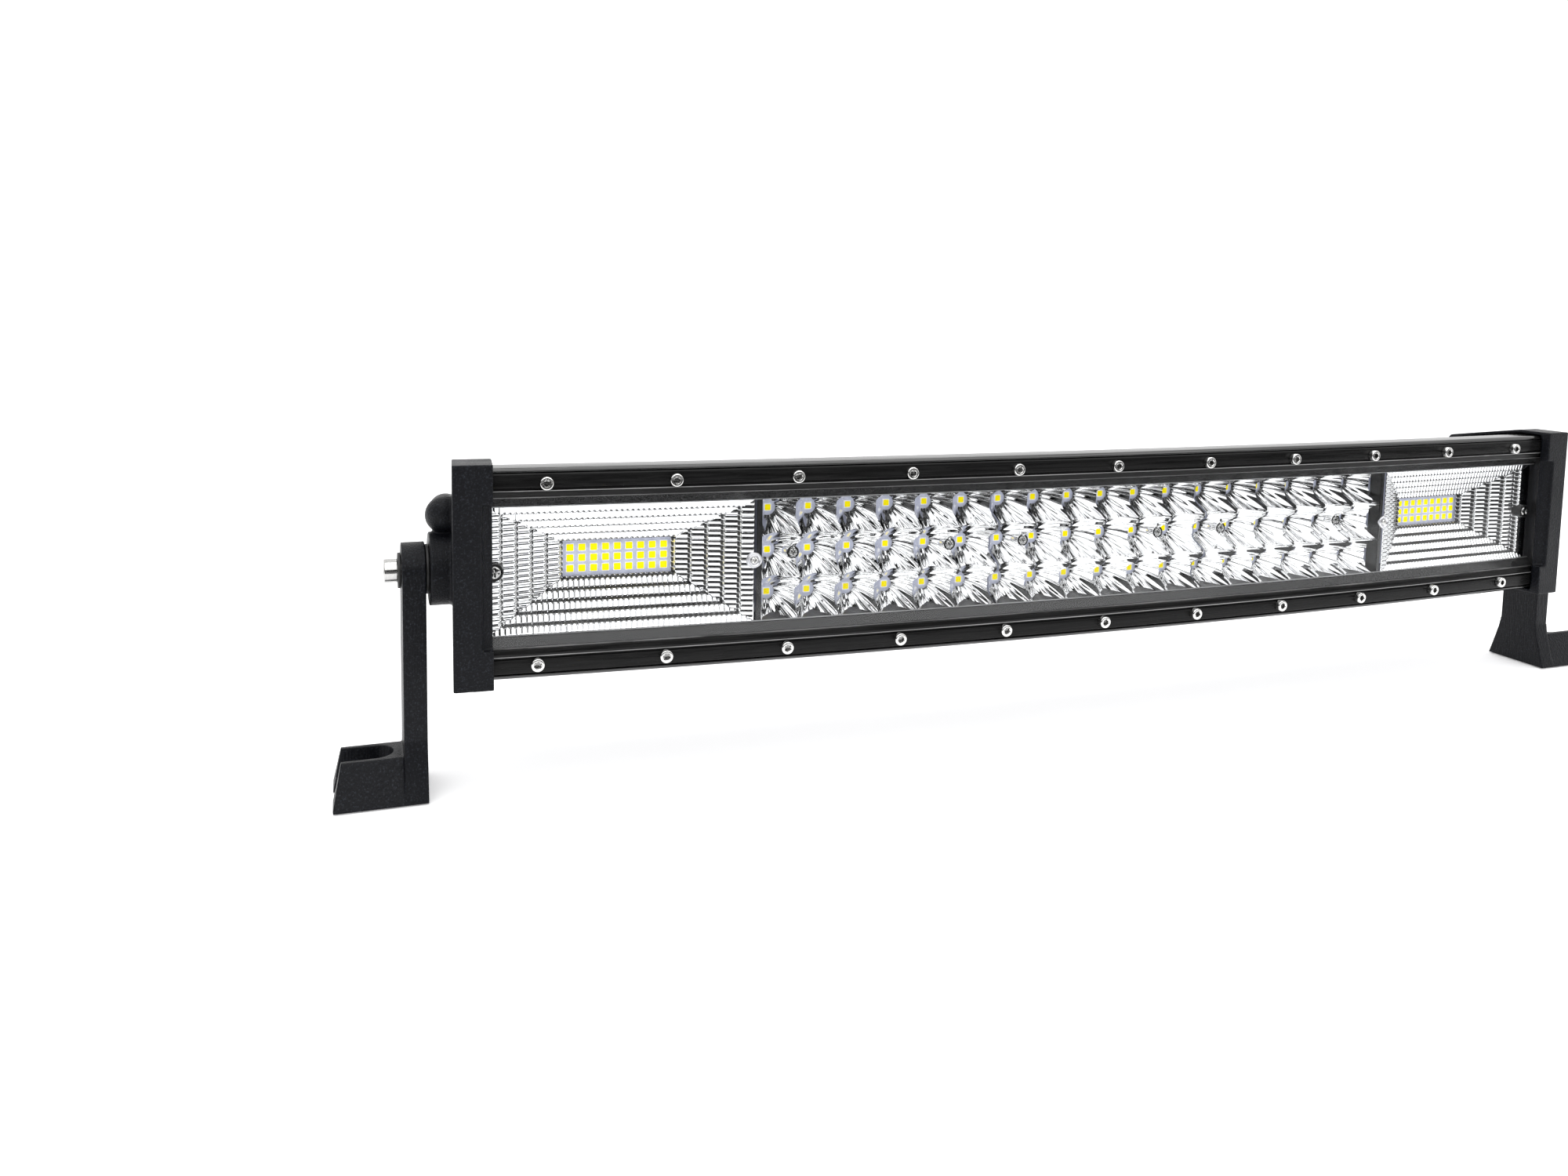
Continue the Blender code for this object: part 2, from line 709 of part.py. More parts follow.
def build_cap_seal(side, shown, cutters):
    bm = plate(both_halves(CAP_SEAL_PROFILE), *CAP_SEAL_SPAN)
    move_to_end(bm, side)
    seal = show(add_piece(f"{side}_cap_seal", bm, ((0.03, 0.03, 0.03), 0.0, 0.85)), shown)
    holes = bmesh.new()
    for depth, height in CAP_SCREWS:
        start = (CAP_POCKET - 2, depth, height)
        add_rod(holes, SCREW_HOLE_RADIUS, start, (2, depth, height), HOLE_SIDES)
    move_to_end(holes, side)
    boolean(seal, add_cutter(f"cut_{side}_cap_seal", holes, cutters), "DIFFERENCE")


def build_gland(shown):
    """Cable gland on the hood's rear face: threaded body and dome nut."""
    seat = Matrix.Translation((HOOD_X, HOOD_BACK + 0.2, GLAND_Z))
    place = end_frame() @ seat @ Matrix.Rotation(math.radians(-90), 4, "X")
    body = [
        (GLAND_BORE, 0),
        (GLAND_RADIUS, 0),
        (GLAND_RADIUS, 3.0),
        (GLAND_THREAD_RADIUS, 3.2),
        (GLAND_THREAD_RADIUS, 6.0),
        (GLAND_BORE, 6.0),
    ]
    nut = [
        (GLAND_NUT_BORE, 6.2),
        (GLAND_RADIUS + 0.1, 6.2),
        (GLAND_RADIUS + 0.1, 10.4),
        (GLAND_NUT_BORE + 0.5, 12.4),
        (GLAND_NUT_BORE, 12.4),
    ]
    for name, points in (("gland_body", body), ("gland_nut", nut)):
        bm = turned(points, closed=True, segments=24)
        bmesh.ops.transform(bm, matrix=place, verts=bm.verts)
        show(add_piece(name, bm, ((0.02, 0.02, 0.02), 0.0, 0.4), smooth=True), shown)


def build_breather(shown):
    points = [
        (0, -2.6),
        (BREATHER_STEM_RADIUS, -2.6),
        (BREATHER_STEM_RADIUS, 0.2),
        (BREATHER_RADIUS, 0.2),
        (BREATHER_RADIUS, 2.0),
        (BREATHER_RADIUS - 0.8, 2.8),
        (0, 2.8),
    ]
    bm = turned(points, segments=FITTING_SIDES)
    place = face_left((BREATHER_DEPTH, 0), CAP_OUTER)
    bmesh.ops.transform(bm, matrix=place, verts=bm.verts)
    mirror_x(bm)
    show(add_piece("breather", bm, ((0.03, 0.03, 0.03), 0.0, 0.5), smooth=True), shown)


def bracket_arm():
    """Upright: round at the hinge, straight sides that flare into the foot."""
    points = [
        (-FOOT_BASE_HALF, -PIVOT_Z),
        (-FOOT_BASE_HALF + 1.2, 3.5 - PIVOT_Z),
        (-ARM_RADIUS - 1.2, FOOT_TOP - PIVOT_Z),
        (-ARM_RADIUS, FOOT_TOP + 6 - PIVOT_Z),
    ]
    arc = []
    for step in range(ARM_STEPS + 1):
        angle = math.pi * (1 - step / ARM_STEPS)
        arc.append((ARM_RADIUS * math.cos(angle), ARM_RADIUS * math.sin(angle)))
    rear = [(-y, z) for y, z in reversed(points)]
    return plate(points + arc + rear, -ARM_X[0], -ARM_X[1])


def foot_block():
    """Wedge-sided foot that reaches outboard from the arm and leans in towards its top."""
    section = [
        (-FOOT_BASE_HALF, -PIVOT_Z),
        (-FOOT_TOP_HALF, FOOT_TOP - PIVOT_Z),
        (FOOT_TOP_HALF, FOOT_TOP - PIVOT_Z),
        (FOOT_BASE_HALF, -PIVOT_Z),
    ]
    bm = plate(section, -ARM_X[1] + 1.5, -FOOT_OUTER)
    for vert in bm.verts:
        if vert.co.x < -FOOT_TOP_OUTER and vert.co.z > -PIVOT_Z + 1:
            vert.co.x = -FOOT_TOP_OUTER
    return bm


def foot_cutter(radius, end, low, high):
    """Slot with a round inner end that runs out through the foot's outer face."""
    bm = bmesh.new()
    add_rod(bm, radius, (-end, 0, low - PIVOT_Z), (-end, 0, high - PIVOT_Z), SLOT_STEPS)
    slab = bmesh.new()
    low_corner = (-FOOT_OUTER - 4, -radius, low - PIVOT_Z)
    add_box(slab, low_corner, (-end, radius, high - PIVOT_Z))
    return bm, slab


def build_bracket(side, shown, cutters):
    pivot = pivot_point()
    sign = 1 if side == "left" else -1
    turn = Matrix.Translation(pivot) @ Matrix.Diagonal((sign, 1, 1, 1))
    middle = Vector((-sign * sum(ARM_X) / 2, pivot.y, pivot.z))
    bm = bracket_arm()
    bmesh.ops.transform(bm, matrix=turn, verts=bm.verts)
    bracket = show(add_piece(f"{side}_bracket", bm, ((0.02, 0.02, 0.021), 0.2, 0.55), middle), shown)
    bevel(bracket, ARM_EDGE)
    block = foot_block()
    bmesh.ops.transform(block, matrix=turn, verts=block.verts)
    foot = add_cutter(f"add_{side}_foot", block, cutters)
    bevel(foot, FOOT_EDGE)
    boolean(bracket, foot, "UNION")
    cuts = (
        ("pocket", foot_cutter(POCKET_RADIUS, POCKET_END, POCKET_FLOOR, FOOT_TOP + 4)),
        ("slot", foot_cutter(SLOT_RADIUS, SLOT_END, -4, POCKET_FLOOR + 2)),
    )
    for name, pair in cuts:
        for shape, bm in zip(("end", "run"), pair):
            bmesh.ops.transform(bm, matrix=turn, verts=bm.verts)
            cutter = add_cutter(f"cut_{side}_{name}_{shape}", bm, cutters)
            boolean(bracket, cutter, "DIFFERENCE")
    hole = bmesh.new()
    boss_rod(hole, side, BOLT_HOLE_RADIUS, ARM_X[0] - 3, ARM_X[1] + 3)
    boolean(bracket, add_cutter(f"cut_{side}_bracket_hole", hole, cutters), "DIFFERENCE")


def hinge_place(side):
    """Frame on the hinge axis at the bar's middle, with Z pointing out of the given end."""
    quarter = math.radians(-90 if side == "left" else 90)
    return Matrix.Translation(pivot_point()) @ Matrix.Rotation(quarter, 4, "Y")


def build_pivot(side, shown, cutters):
    place = hinge_place(side)
    points = [
        (0, BOLT_TIP),
        (BOLT_RADIUS, BOLT_TIP),
        (BOLT_RADIUS, BOLT_HEAD[0]),
        (BOLT_HEAD_RADIUS, BOLT_HEAD[0]),
        (BOLT_HEAD_RADIUS, BOLT_HEAD[1] - BOLT_HEAD_CHAMFER),
        (BOLT_HEAD_RADIUS - BOLT_HEAD_CHAMFER, BOLT_HEAD[1]),
        (0, BOLT_HEAD[1]),
    ]
    bm = turned(points)
    bmesh.ops.transform(bm, matrix=place, verts=bm.verts)
    steel = ((0.7, 0.7, 0.7), 1.0, 0.25)
    bolt = show(add_piece(f"{side}_pivot_bolt", bm, steel, smooth=True), shown)
    socket = bmesh.new()
    key_socket(socket, BOLT_KEY_RADIUS, BOLT_KEY_DEPTH, BOLT_HEAD[1], place)
    boolean(bolt, add_cutter(f"cut_{side}_bolt_socket", socket, cutters), "DIFFERENCE")
    washers = (
        ("inner", INNER_WASHER, INNER_WASHER_RADIUS),
        ("outer", OUTER_WASHER, OUTER_WASHER_RADIUS),
    )
    for name, (low, high), radius in washers:
        ring = [(BOLT_HOLE_RADIUS, low), (radius, low), (radius, high), (BOLT_HOLE_RADIUS, high)]
        bm = turned(ring, closed=True, segments=WASHER_SIDES)
        bmesh.ops.transform(bm, matrix=place, verts=bm.verts)
        look = ((0.03, 0.03, 0.03), 0.0, 0.6)
        show(add_piece(f"{side}_{name}_washer", bm, look, smooth=True), shown)


def build():
    clear_scene()
    shown = make_collection(PART_NAME)
    cutters = make_collection("cutters")
    build_housing(shown, cutters)
    build_trims(shown, cutters)
    build_lens(shown, cutters)
    build_modules(shown, cutters)
    for side in ("left", "right"):
        build_cap(side, shown, cutters)
        build_cap_seal(side, shown, cutters)
        build_bracket(side, shown, cutters)
        build_pivot(side, shown, cutters)
    build_gland(shown)
    build_breather(shown)
    build_screws(shown, cutters)


build()
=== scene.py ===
"""Looks of the curved LED light bar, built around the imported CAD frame.

Lengths are in millimetres until a mesh is made. The bar is bent along an arc, so its pieces are
placed by an angle along it, and its sections are made of (depth, height) points: depth behind the
trims' front face, height from the bar's mid-height.
"""
import math

import bmesh
import bpy
import numpy as np
from mathutils import Matrix, Vector


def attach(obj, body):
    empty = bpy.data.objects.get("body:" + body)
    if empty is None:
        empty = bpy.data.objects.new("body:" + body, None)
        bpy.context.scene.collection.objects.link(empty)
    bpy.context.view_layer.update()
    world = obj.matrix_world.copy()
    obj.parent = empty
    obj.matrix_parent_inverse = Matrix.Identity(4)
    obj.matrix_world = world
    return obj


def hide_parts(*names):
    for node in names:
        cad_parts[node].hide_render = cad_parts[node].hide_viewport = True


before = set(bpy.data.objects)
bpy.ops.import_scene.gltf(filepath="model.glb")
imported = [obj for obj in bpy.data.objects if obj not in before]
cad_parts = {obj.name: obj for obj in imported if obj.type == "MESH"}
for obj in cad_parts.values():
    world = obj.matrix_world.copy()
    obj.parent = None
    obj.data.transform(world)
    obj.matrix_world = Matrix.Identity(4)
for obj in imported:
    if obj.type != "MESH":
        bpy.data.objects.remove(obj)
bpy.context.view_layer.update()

MM = 0.001
MERGE = 0.001
# Degrees between two faces from which their edge is shaded sharp
SHARP = 32

# Arc of the bar and the row of modules along it; SQUEEZE leaves a hair between neighbours
BAR_RADIUS = 3350.0
FRONT_Y = -41.35
AXIS_Z = 82.5
BAR_STEPS = 96
CELL = 16.8
COLUMNS = 6
ROWS = 3
MODULE = CELL * COLUMNS
MODULES = 5
MODULE_NAMES = ("left_flood", "left_spot", "middle_spot", "right_spot", "right_flood")
SQUEEZE = 0.996
LED_DEPTH = 24.1
HALF_ANGLE = MODULE * MODULES / 2 / (BAR_RADIUS - LED_DEPTH)
END_MARGIN = 1.2
END_ANGLE = HALF_ANGLE + END_MARGIN / BAR_RADIUS

# Housing: upper half of its section from the cavity's floor round to the fins, and the fins
CAVITY_HALF = 25.6
FLOOR_DEPTH = 26.7
HOUSING_HALF = 38.0
HOUSING_UPPER = [
    (FLOOR_DEPTH, CAVITY_HALF), (6.6, CAVITY_HALF), (6.6, 29.3), (3.5, 29.3), (3.5, 36.4),
    (0.4, 36.4), (0.4, 37.0), (1.4, HOUSING_HALF), (10.4, HOUSING_HALF), (12.4, 36.2),
    (28.0, 34.4),
]
FIN_ROOT = 31.0
FIN_PITCH = 5.6
FINS_PER_HALF = 6
FIN_REACH = 27.0
FIN_ELLIPSE = 37.0
FIN_ROOT_HALF = 1.1
FIN_TIP_HALF = 0.75

# Sections of the upper trim, the painted highlight strip on its edge, the lens and the frame
# over its upper edge; a face of the lens is clear where its normal's Y is more than CLEAR_FACING
TRIM_UPPER = [
    (0.5, 36.1), (3.2, 36.1), (3.2, 29.6), (2.3, 29.6), (2.3, 27.4), (1.1, 27.4), (0.7, 29.2),
    (0.15, 29.7), (0.15, 30.0), (1.0, 30.1), (1.0, 30.8), (0.0, 30.9), (0.0, 35.6),
]
TRIM_EDGE = [(0.02, 29.62), (0.4, 29.62), (0.4, 29.92), (0.02, 29.92)]
LENS_SECTION = [(2.6, 26.8), (5.2, 23.9), (5.2, -23.9), (2.6, -26.8)]
CLEAR_FACING = 0.95
FRAME_UPPER = [(5.7, 23.5), (2.45, 27.2), (2.45, 28.9), (6.3, 28.9), (6.3, 25.7), (5.7, 25.5)]
# Light strips on the frame's rim and lip: painted highlights
FRAME_LINES = (
    ("rim", [(5.45, 23.2), (5.75, 23.2), (5.75, 23.6), (5.45, 23.6)]),
    ("lip", [(2.2, 26.9), (2.5, 26.9), (2.5, 27.4), (2.2, 27.4)]),
)

# Share of gloss in the lens, from face-on to grazing
LENS_GLOSS = [(0.0, 0.006), (0.45, 0.02), (0.7, 0.11), (0.88, 0.4), (1.0, 0.9)]

# LED packages and their boards
LED_SIZE = 3.0
LED_BEVEL = 0.12
PHOSPHOR_CORNER = 0.4
PHOSPHOR_BASE = 0.02
PHOSPHOR_TOP = 0.12
PHOSPHOR_TAPER = 0.86
FLOOD_PHOSPHOR_HALF = 1.3
CUP_PHOSPHOR_HALF = 1.18
FLOOD_COLUMNS = 9
FLOOD_PITCH_X = 4.46
FLOOD_PITCH_Z = 3.98
BOARD_FRONT = 24.8
BOARD_BACK = 26.4
BOARD_HALF = 25.0

# Spot reflectors: fluted cups, and the ledges above and below them, painted dark as shade
RIM_DEPTH = 6.0
REFLECTOR_BACK = 24.45
CUP_FOCUS = 1.6
CUP_HOLE = 3.1
CUP_RINGS = 26
CUP_RING_SPREAD = 0.8
FLUTES = 10
FLUTE_STEPS = 8
FLUTE_SHARE = 0.085
FLUTE_SWIRL = 0.35
SHELF_GAP = 0.1
LEDGE_LAP = 0.2
LEDGE_DEPTH = 18.5
LEDGE_DROP = 1.4

# Flood reflectors: a stepped funnel from the LED window to the rim, in rows of small flutes.
# Risers, treads and flutes differ from wall to wall; the last table holds how deep and how wide
# the painted shade on a riser is.
FLOOD_HALF_X = 49.3
FLOOD_HALF_Z = 25.5
WINDOW_HALF_X = 20.6
WINDOW_HALF_Z = 6.7
RIM_HALF_X = 48.9
RIM_HALF_Z = 23.2
FUNNEL_FOOT = 23.6
FLOOD_STEPS = 5
RISER_SHARE = 0.20
RISER_LINES = (-0.01, 0.01, 0.06, RISER_SHARE - 0.02, RISER_SHARE + 0.02)
FLUTE_PITCH = 2.0
LINES_PER_FLUTE = 6
TREAD_RISES = {"top": 0.16, "bottom": 0.34, "left": 0.30, "right": 0.34}
PILLOW_HEIGHTS = {"top": 0.15, "bottom": 0.20, "left": 0.22, "right": 0.13}
SCALLOPS = {"top": 0.16, "bottom": 0.16, "left": 0.10, "right": 0.06}
RISER_PAINTED_SHADE = {"top": (0.24, 0.85), "bottom": (0.20, 2.0), "left": (0.12, 0.75), "right": (0.12, 0.8)}

# Small screws that hold the reflectors, each in a boss whose profile adds to the screw's radius
FIXING_X = (-2 * CELL, 2 * CELL)
FIXING_SEAT = 16.5
FIXING_POCKET = 2.7
FIXING_RADIUS = 1.8
FLOOD_FIXING_INSET = 4.1
FLOOD_FIXING_SEAT = 5.2
FLOOD_FIXING_RADIUS = 2.4
FIXING_HEAD = 0.9
BOSS_ROOT = -9
BOSS_SINK = -0.4
BOSS_PROFILE = ((1.6, BOSS_ROOT), (0.9, -0.5), (0.7, 0.1), (0.2, 0.1), (0.1, BOSS_SINK))

# Seams between flood and spot modules, as (module left of it, sign that mirrors its parts)
SEAMS = ((0, 1), (3, -1))
SEAM_STRIP = ((-0.7, 5.6, -25.1), (1.4, 12.0, 25.1))
SEAM_BEVEL = 0.2
LUG_X = -1.6
LUG_SEAT = 6.0
LUG_PROFILE = [(0, 0), (3.1, 0), (3.05, 0.5), (2.8, 0.9), (2.4, 1.1), (2.0, 0.95), (1.8, 0.6),
               (0, 0.5)]
LUG_SCREW_SEAT = 5.4
LUG_SCREW_RADIUS = 1.5

# Socket screws of the trims and caps; SCREW_TURN degrees from each one's key to the next
SCREW_Z = 32.6
SCREW_PITCH = 46.2
SCREWS_PER_TRIM = 11
TOP_SCREW_START = 22.2
BOTTOM_SCREW_START = 19.0
SCREW_SEAT = -0.1
SCREW_TURN = 37
SCREW_HEAD = {"radius": 2.4, "height": 2.5, "key": 1.3, "depth": 1.5, "shank": 1.2,
              "shank_length": 7.5}

# End caps, with x from the end of the modules; every cutter runs OVERCUT past the surface
CAP_OUTER = -9.9
CAP_INNER = 3.8
CAP_POCKET = -2.4
CAP_FRONT = -5.0
CAP_HALF = 40.0
CAP_UPPER = [(CAP_FRONT, CAP_HALF), (11.5, CAP_HALF), (34.6, 36.0), (49.2, 33.4), (54.0, 27.8),
             (58.8, 17.5), (61.6, 6.0)]
POCKET_UPPER = [(-0.4, 38.4), (11.2, 38.4), (34.3, 34.4), (48.2, 31.9), (52.4, 27.0),
                (57.0, 16.9), (58.6, 5.0)]
CAP_VOXEL = 0.45
OVERCUT = 3
CAP_SCREWS = ((8.0, 32.0), (8.0, -32.0), (28.8, 30.2), (28.8, -30.2))
CAP_SCREW_SINK = 2.7
CAP_SCREW_SINK_RADIUS = 2.9
COVE_RADIUS = 4.0
COVE_HALF = 26

# Cable hood, gland and breather
HOOD_X = -12.3
HOOD_Z = 18.6
HOOD_RADIUS = 7.0
HOOD_FRONT = 21.0
HOOD_BACK = 62.0
HOOD_DROP = 7.0
GLAND_Z = HOOD_Z - HOOD_DROP
GLAND_BORE = 4.0
GLAND_BORE_DEPTH = 8
GLAND_GAP = 0.2
GLAND_BODY = [(GLAND_BORE, 0), (6.3, 0), (6.3, 3.0), (5.4, 3.2), (5.4, 6.0), (GLAND_BORE, 6.0)]
GLAND_NUT = [(4.4, 6.2), (6.4, 6.2), (6.4, 10.4), (4.9, 12.4), (4.4, 12.4)]
BREATHER_SPOT = (46.0, 0)
BREATHER_PROFILE = [(0, -2.6), (2.9, -2.6), (2.9, 0.2), (4.9, 0.2), (5.2, 0.5), (5.2, 1.9),
                    (4.9, 2.5), (4.2, 2.8), (2.4, 2.8), (2.2, 2.5), (0, 2.5)]

# Hinge, arm and foot, with distances along X from the middle of the bar. ARM_FLARE is made of
# (half width, height) points from the foot upwards, FOOT_CUTS of (radius, X of the round end,
# bottom, top) for the pocket and the slot in its floor.
PIVOT_DEPTH = 22.0
PIVOT_Z = 81.5
BOSS_RADIUS = 13.3
BOSS_START = 256.0
BOSS_FACE = 270.1
BORE_RADIUS = 2.7
BORE_START = 262.9
BORE_END = 275.0
ARM_NEAR = 271.5
ARM_FAR = 279.6
ARM_RADIUS = 10.0
ARM_STEPS = 32
FOOT_LAP = 1.5
FOOT_HALF = 16.0
FOOT_TOP_HALF = 8.6
FOOT_OUTER = 303.8
FOOT_TOP_OUTER = 300.9
FOOT_TOP = 15.3
ARM_FLARE = ((FOOT_HALF, 0), (14.8, 3.5), (ARM_RADIUS + 1.2, FOOT_TOP),
             (ARM_RADIUS, FOOT_TOP + 6))
FOOT_CUTS = ((6.4, 289.4, 5.2, FOOT_TOP + 4), (4.2, 288.5, -4, 7.2))
BRACKET_VOXEL = 0.4
BOLT_HEAD = 281.0
BOLT_END = 285.5
HINGE_BOLT = {"radius": 4.3, "height": BOLT_END - BOLT_HEAD, "key": 2.3, "depth": 2.6,
              "shank": 2.6, "shank_length": 17.0, "segments": 96}
WASHER_BORE = 2.68
WASHERS = (("inner_washer", 270.3, 271.3, 9.0), ("outer_washer", 279.8, 280.8, 6.4))

# Studio: cards as (name, low corner, high corner, glow), seen only in reflections, and area
# lights as (name, size, place, power) in metres and watts
FLOOR_GLOW = 0.22
WORLD_STRENGTH = 1.12
CARDS = (
    ("flag_front", (-2200, -1420, 40), (2200, -1400, 640), 0.0),
    ("flag_left", (-1520, -1400, 40), (-1500, 500, 600), 0.0),
    ("flag_floor", (-1500, -1400, 0.5), (1500, -345, 1.5), 0.0),
    ("flag_floor_left", (-1500, -345, 0.5), (-90, -285, 1.5), 0.0),
    ("softbox_front", (-1500, -1400, 660), (1500, -1380, 1700), 1.9),
    ("softbox_top", (-1500, -1380, 1700), (1500, -150, 1720), 1.9),
)
LIGHTS = (
    ("key", (1.6, 1.2), (-1.0, -1.6, 1.9), 9),
    ("top", (1.6, 1.0), (0, -0.3, 1.8), 10),
    ("rim", (1.6, 0.8), (0.6, 1.4, 1.6), 8),
)
LIGHT_TARGET = (0, 0, 0.08)

# Camera: lens and shift, place in metres, and turns in radians
CAMERA_LENS = 28.58
CAMERA_SHIFT = (-0.0183, -0.1125)
CAMERA_PLACE = (-0.2979, -0.4724, 0.1847)
CAMERA_YAW = -0.3620
CAMERA_PITCH = -0.0976
CAMERA_ROLL = -0.0201


def bar_frame(angle):
    """Frame on the trims' front face: X along the bar, Y inwards, Z up from its mid-height."""
    centre = Matrix.Translation((0, FRONT_Y + BAR_RADIUS, AXIS_Z))
    return centre @ Matrix.Rotation(angle, 4, "Z") @ Matrix.Translation((0, -BAR_RADIUS, 0))


END_FRAME = bar_frame(-HALF_ANGLE)
PIVOT = Vector((0, (END_FRAME @ Vector((0, PIVOT_DEPTH, 0))).y, PIVOT_Z))
FLIP = Matrix.Diagonal((-1, 1, 1, 1))


# ---------------------------------------------------------------- materials

def new_material(name):
    material = bpy.data.materials.new(name)
    material.use_nodes = True
    return material


def tree(material):
    return material.node_tree.nodes, material.node_tree.links


def noise(material, scale, detail, stretch=(1, 1, 1)):
    """Noise in the piece's own metres, stretched along its axes."""
    nodes, links = tree(material)
    place = nodes.new("ShaderNodeTexCoord")
    mapping = nodes.new("ShaderNodeMapping")
    mapping.inputs["Scale"].default_value = stretch
    texture = nodes.new("ShaderNodeTexNoise")
    texture.inputs["Scale"].default_value = scale
    texture.inputs["Detail"].default_value = detail
    texture.inputs["Roughness"].default_value = 0.55
    links.new(place.outputs["Object"], mapping.inputs["Vector"])
    links.new(mapping.outputs["Vector"], texture.inputs["Vector"])
    return texture.outputs["Fac"]


def ramp(material, value, stops):
    """Ramp over a value; stops are (position, colour or grey level)."""
    nodes, links = tree(material)
    node = nodes.new("ShaderNodeValToRGB")
    elements = node.color_ramp.elements
    while len(elements) < len(stops):
        elements.new(0.5)
    for element, (position, color) in zip(elements, stops):
        element.position = position
        element.color = (*color, 1) if isinstance(color, tuple) else (color, color, color, 1)
    links.new(value, node.inputs["Fac"])
    return node.outputs["Color"]


def blend(material, value, low, high, start=0.3, stop=0.7):
    """Ramp between two colours or grey levels."""
    return ramp(material, value, [(start, low), (stop, high)])


def bump(material, value, strength, distance, base=None):
    nodes, links = tree(material)
    node = nodes.new("ShaderNodeBump")
    node.inputs["Strength"].default_value = strength
    node.inputs["Distance"].default_value = distance
    links.new(value, node.inputs["Height"])
    if base is not None:
        links.new(base, node.inputs["Normal"])
    return node.outputs["Normal"]


def surface(material, color=None, rough=None, normal=None, **fixed):
    """Wire the given outputs into the Principled shader and set its fixed values."""
    nodes, links = tree(material)
    shader = nodes["Principled BSDF"]
    for socket, output in (("Base Color", color), ("Roughness", rough), ("Normal", normal)):
        if output is not None:
            links.new(output, shader.inputs[socket])
    for socket, value in fixed.items():
        shader.inputs[socket.replace("_", " ")].default_value = value
    return material


def glow(material, color, strength):
    """Painted light: let the surface glow a little in its own colour, though it is no lamp."""
    nodes, links = tree(material)
    shader = nodes["Principled BSDF"]
    links.new(color, shader.inputs["Emission Color"])
    shader.inputs["Emission Strength"].default_value = strength


def powder_coat(name, stretch):
    """Fine-textured black coat of the castings, with a few pale specks of dust."""
    material = new_material(name)
    grain = noise(material, 1500, 5, stretch)
    patches = noise(material, 90, 5)
    specks = noise(material, 1500, 2)
    color = ramp(material, specks, [(0.0, (0.0008, 0.001, 0.002)), (0.55, (0.0025, 0.003, 0.0048)),
                                    (0.78, (0.020, 0.023, 0.030))])
    rough = blend(material, patches, 0.34, 0.46)
    normal = bump(material, grain, 0.9, 0.00035)
    return surface(material, color, rough, normal, Metallic=0.0, Specular_IOR_Level=0.17)


def anodised(name, low, high, gloss, smooth=0.20):
    """Black anodised extrusion, brushed along the bar; in lighter tones, painted highlight strips.
    """
    material = new_material(name)
    lines = noise(material, 900, 5, stretch=(0.02, 1, 1))
    grain = noise(material, 2600, 2)
    color = blend(material, lines, low, high)
    rough = blend(material, lines, smooth, smooth * 1.7, 0.25, 0.75)
    normal = bump(material, grain, 0.10, 0.00008, bump(material, lines, 0.25, 0.00015))
    return surface(material, color, rough, normal, Metallic=0.0, Specular_IOR_Level=gloss)


def mirror_coat(name, level):
    """Vacuum-metallised reflector with slight orange peel."""
    material = new_material(name)
    peel = noise(material, 260, 2)
    haze = noise(material, 900, 4)
    color = blend(material, haze, level * 0.97, level)
    rough = blend(material, haze, 0.02, 0.05, stop=0.75)
    normal = bump(material, peel, 0.05, 0.0003)
    return surface(material, color, rough, normal, Metallic=1.0)


def board_mask():
    """White solder mask with a faint lavender cast, lightened by a painted glow deep in the
    reflectors.
    """
    material = new_material("white_solder_mask")
    spread = noise(material, 420, 3)
    color = blend(material, spread, (0.44, 0.46, 0.56), (0.54, 0.56, 0.66), 0.35, 0.65)
    rough = blend(material, spread, 0.35, 0.5)
    glow(material, color, 0.3)
    return surface(material, color, rough, bump(material, spread, 0.1, 0.0001), Metallic=0.0)


def phosphor():
    """Yellow phosphor of an LED package, with a painted glow though the LED is not lit."""
    material = new_material("yellow_phosphor")
    grain = noise(material, 2600, 4)
    color = blend(material, grain, (0.95, 0.74, 0.0005), (1.0, 0.90, 0.001))
    normal = bump(material, grain, 0.15, 0.00006)
    glow(material, color, 0.35)
    return surface(material, color, None, normal, Roughness=0.5, Specular_IOR_Level=0.1)


def led_frame():
    """White moulding of an LED package, lightened by a painted glow."""
    material = new_material("led_frame_white")
    grain = noise(material, 1200, 3)
    color = blend(material, grain, (0.70, 0.71, 0.76), (0.80, 0.81, 0.85))
    normal = bump(material, grain, 0.08, 0.00005)
    glow(material, color, 0.35)
    return surface(material, color, None, normal, Roughness=0.4)


def stainless(name, level):
    """Turned stainless steel with fine rings and scratches."""
    material = new_material(name)
    grain = noise(material, 1400, 5, stretch=(1, 1, 0.15))
    color = blend(material, grain, level * 0.8, (level, level * 0.99, level * 0.96))
    rough = blend(material, grain, 0.12, 0.22, 0.25, 0.75)
    return surface(material, color, rough, bump(material, grain, 0.04, 0.00005), Metallic=1.0)


def metallised_lug():
    """Bright moulding round the screw between two modules."""
    material = new_material("metallised_lug")
    haze = noise(material, 700, 3)
    color = blend(material, haze, (0.72, 0.72, 0.75), (0.88, 0.88, 0.90))
    rough = blend(material, haze, 0.06, 0.14)
    return surface(material, color, rough, bump(material, haze, 0.3, 0.0003), Metallic=0.7)


def polymer_and_painted_shade(name, level, low, high):
    """Black nylon or rubber with a moulded grain; the same dark finish is painted shade on
    reflector facets.
    """
    material = new_material(name)
    grain = noise(material, 1100, 4)
    color = blend(material, grain, level * 0.8, level * 1.25)
    rough = blend(material, grain, low, high)
    return surface(material, color, rough, bump(material, grain, 0.25, 0.0001), Metallic=0.0)


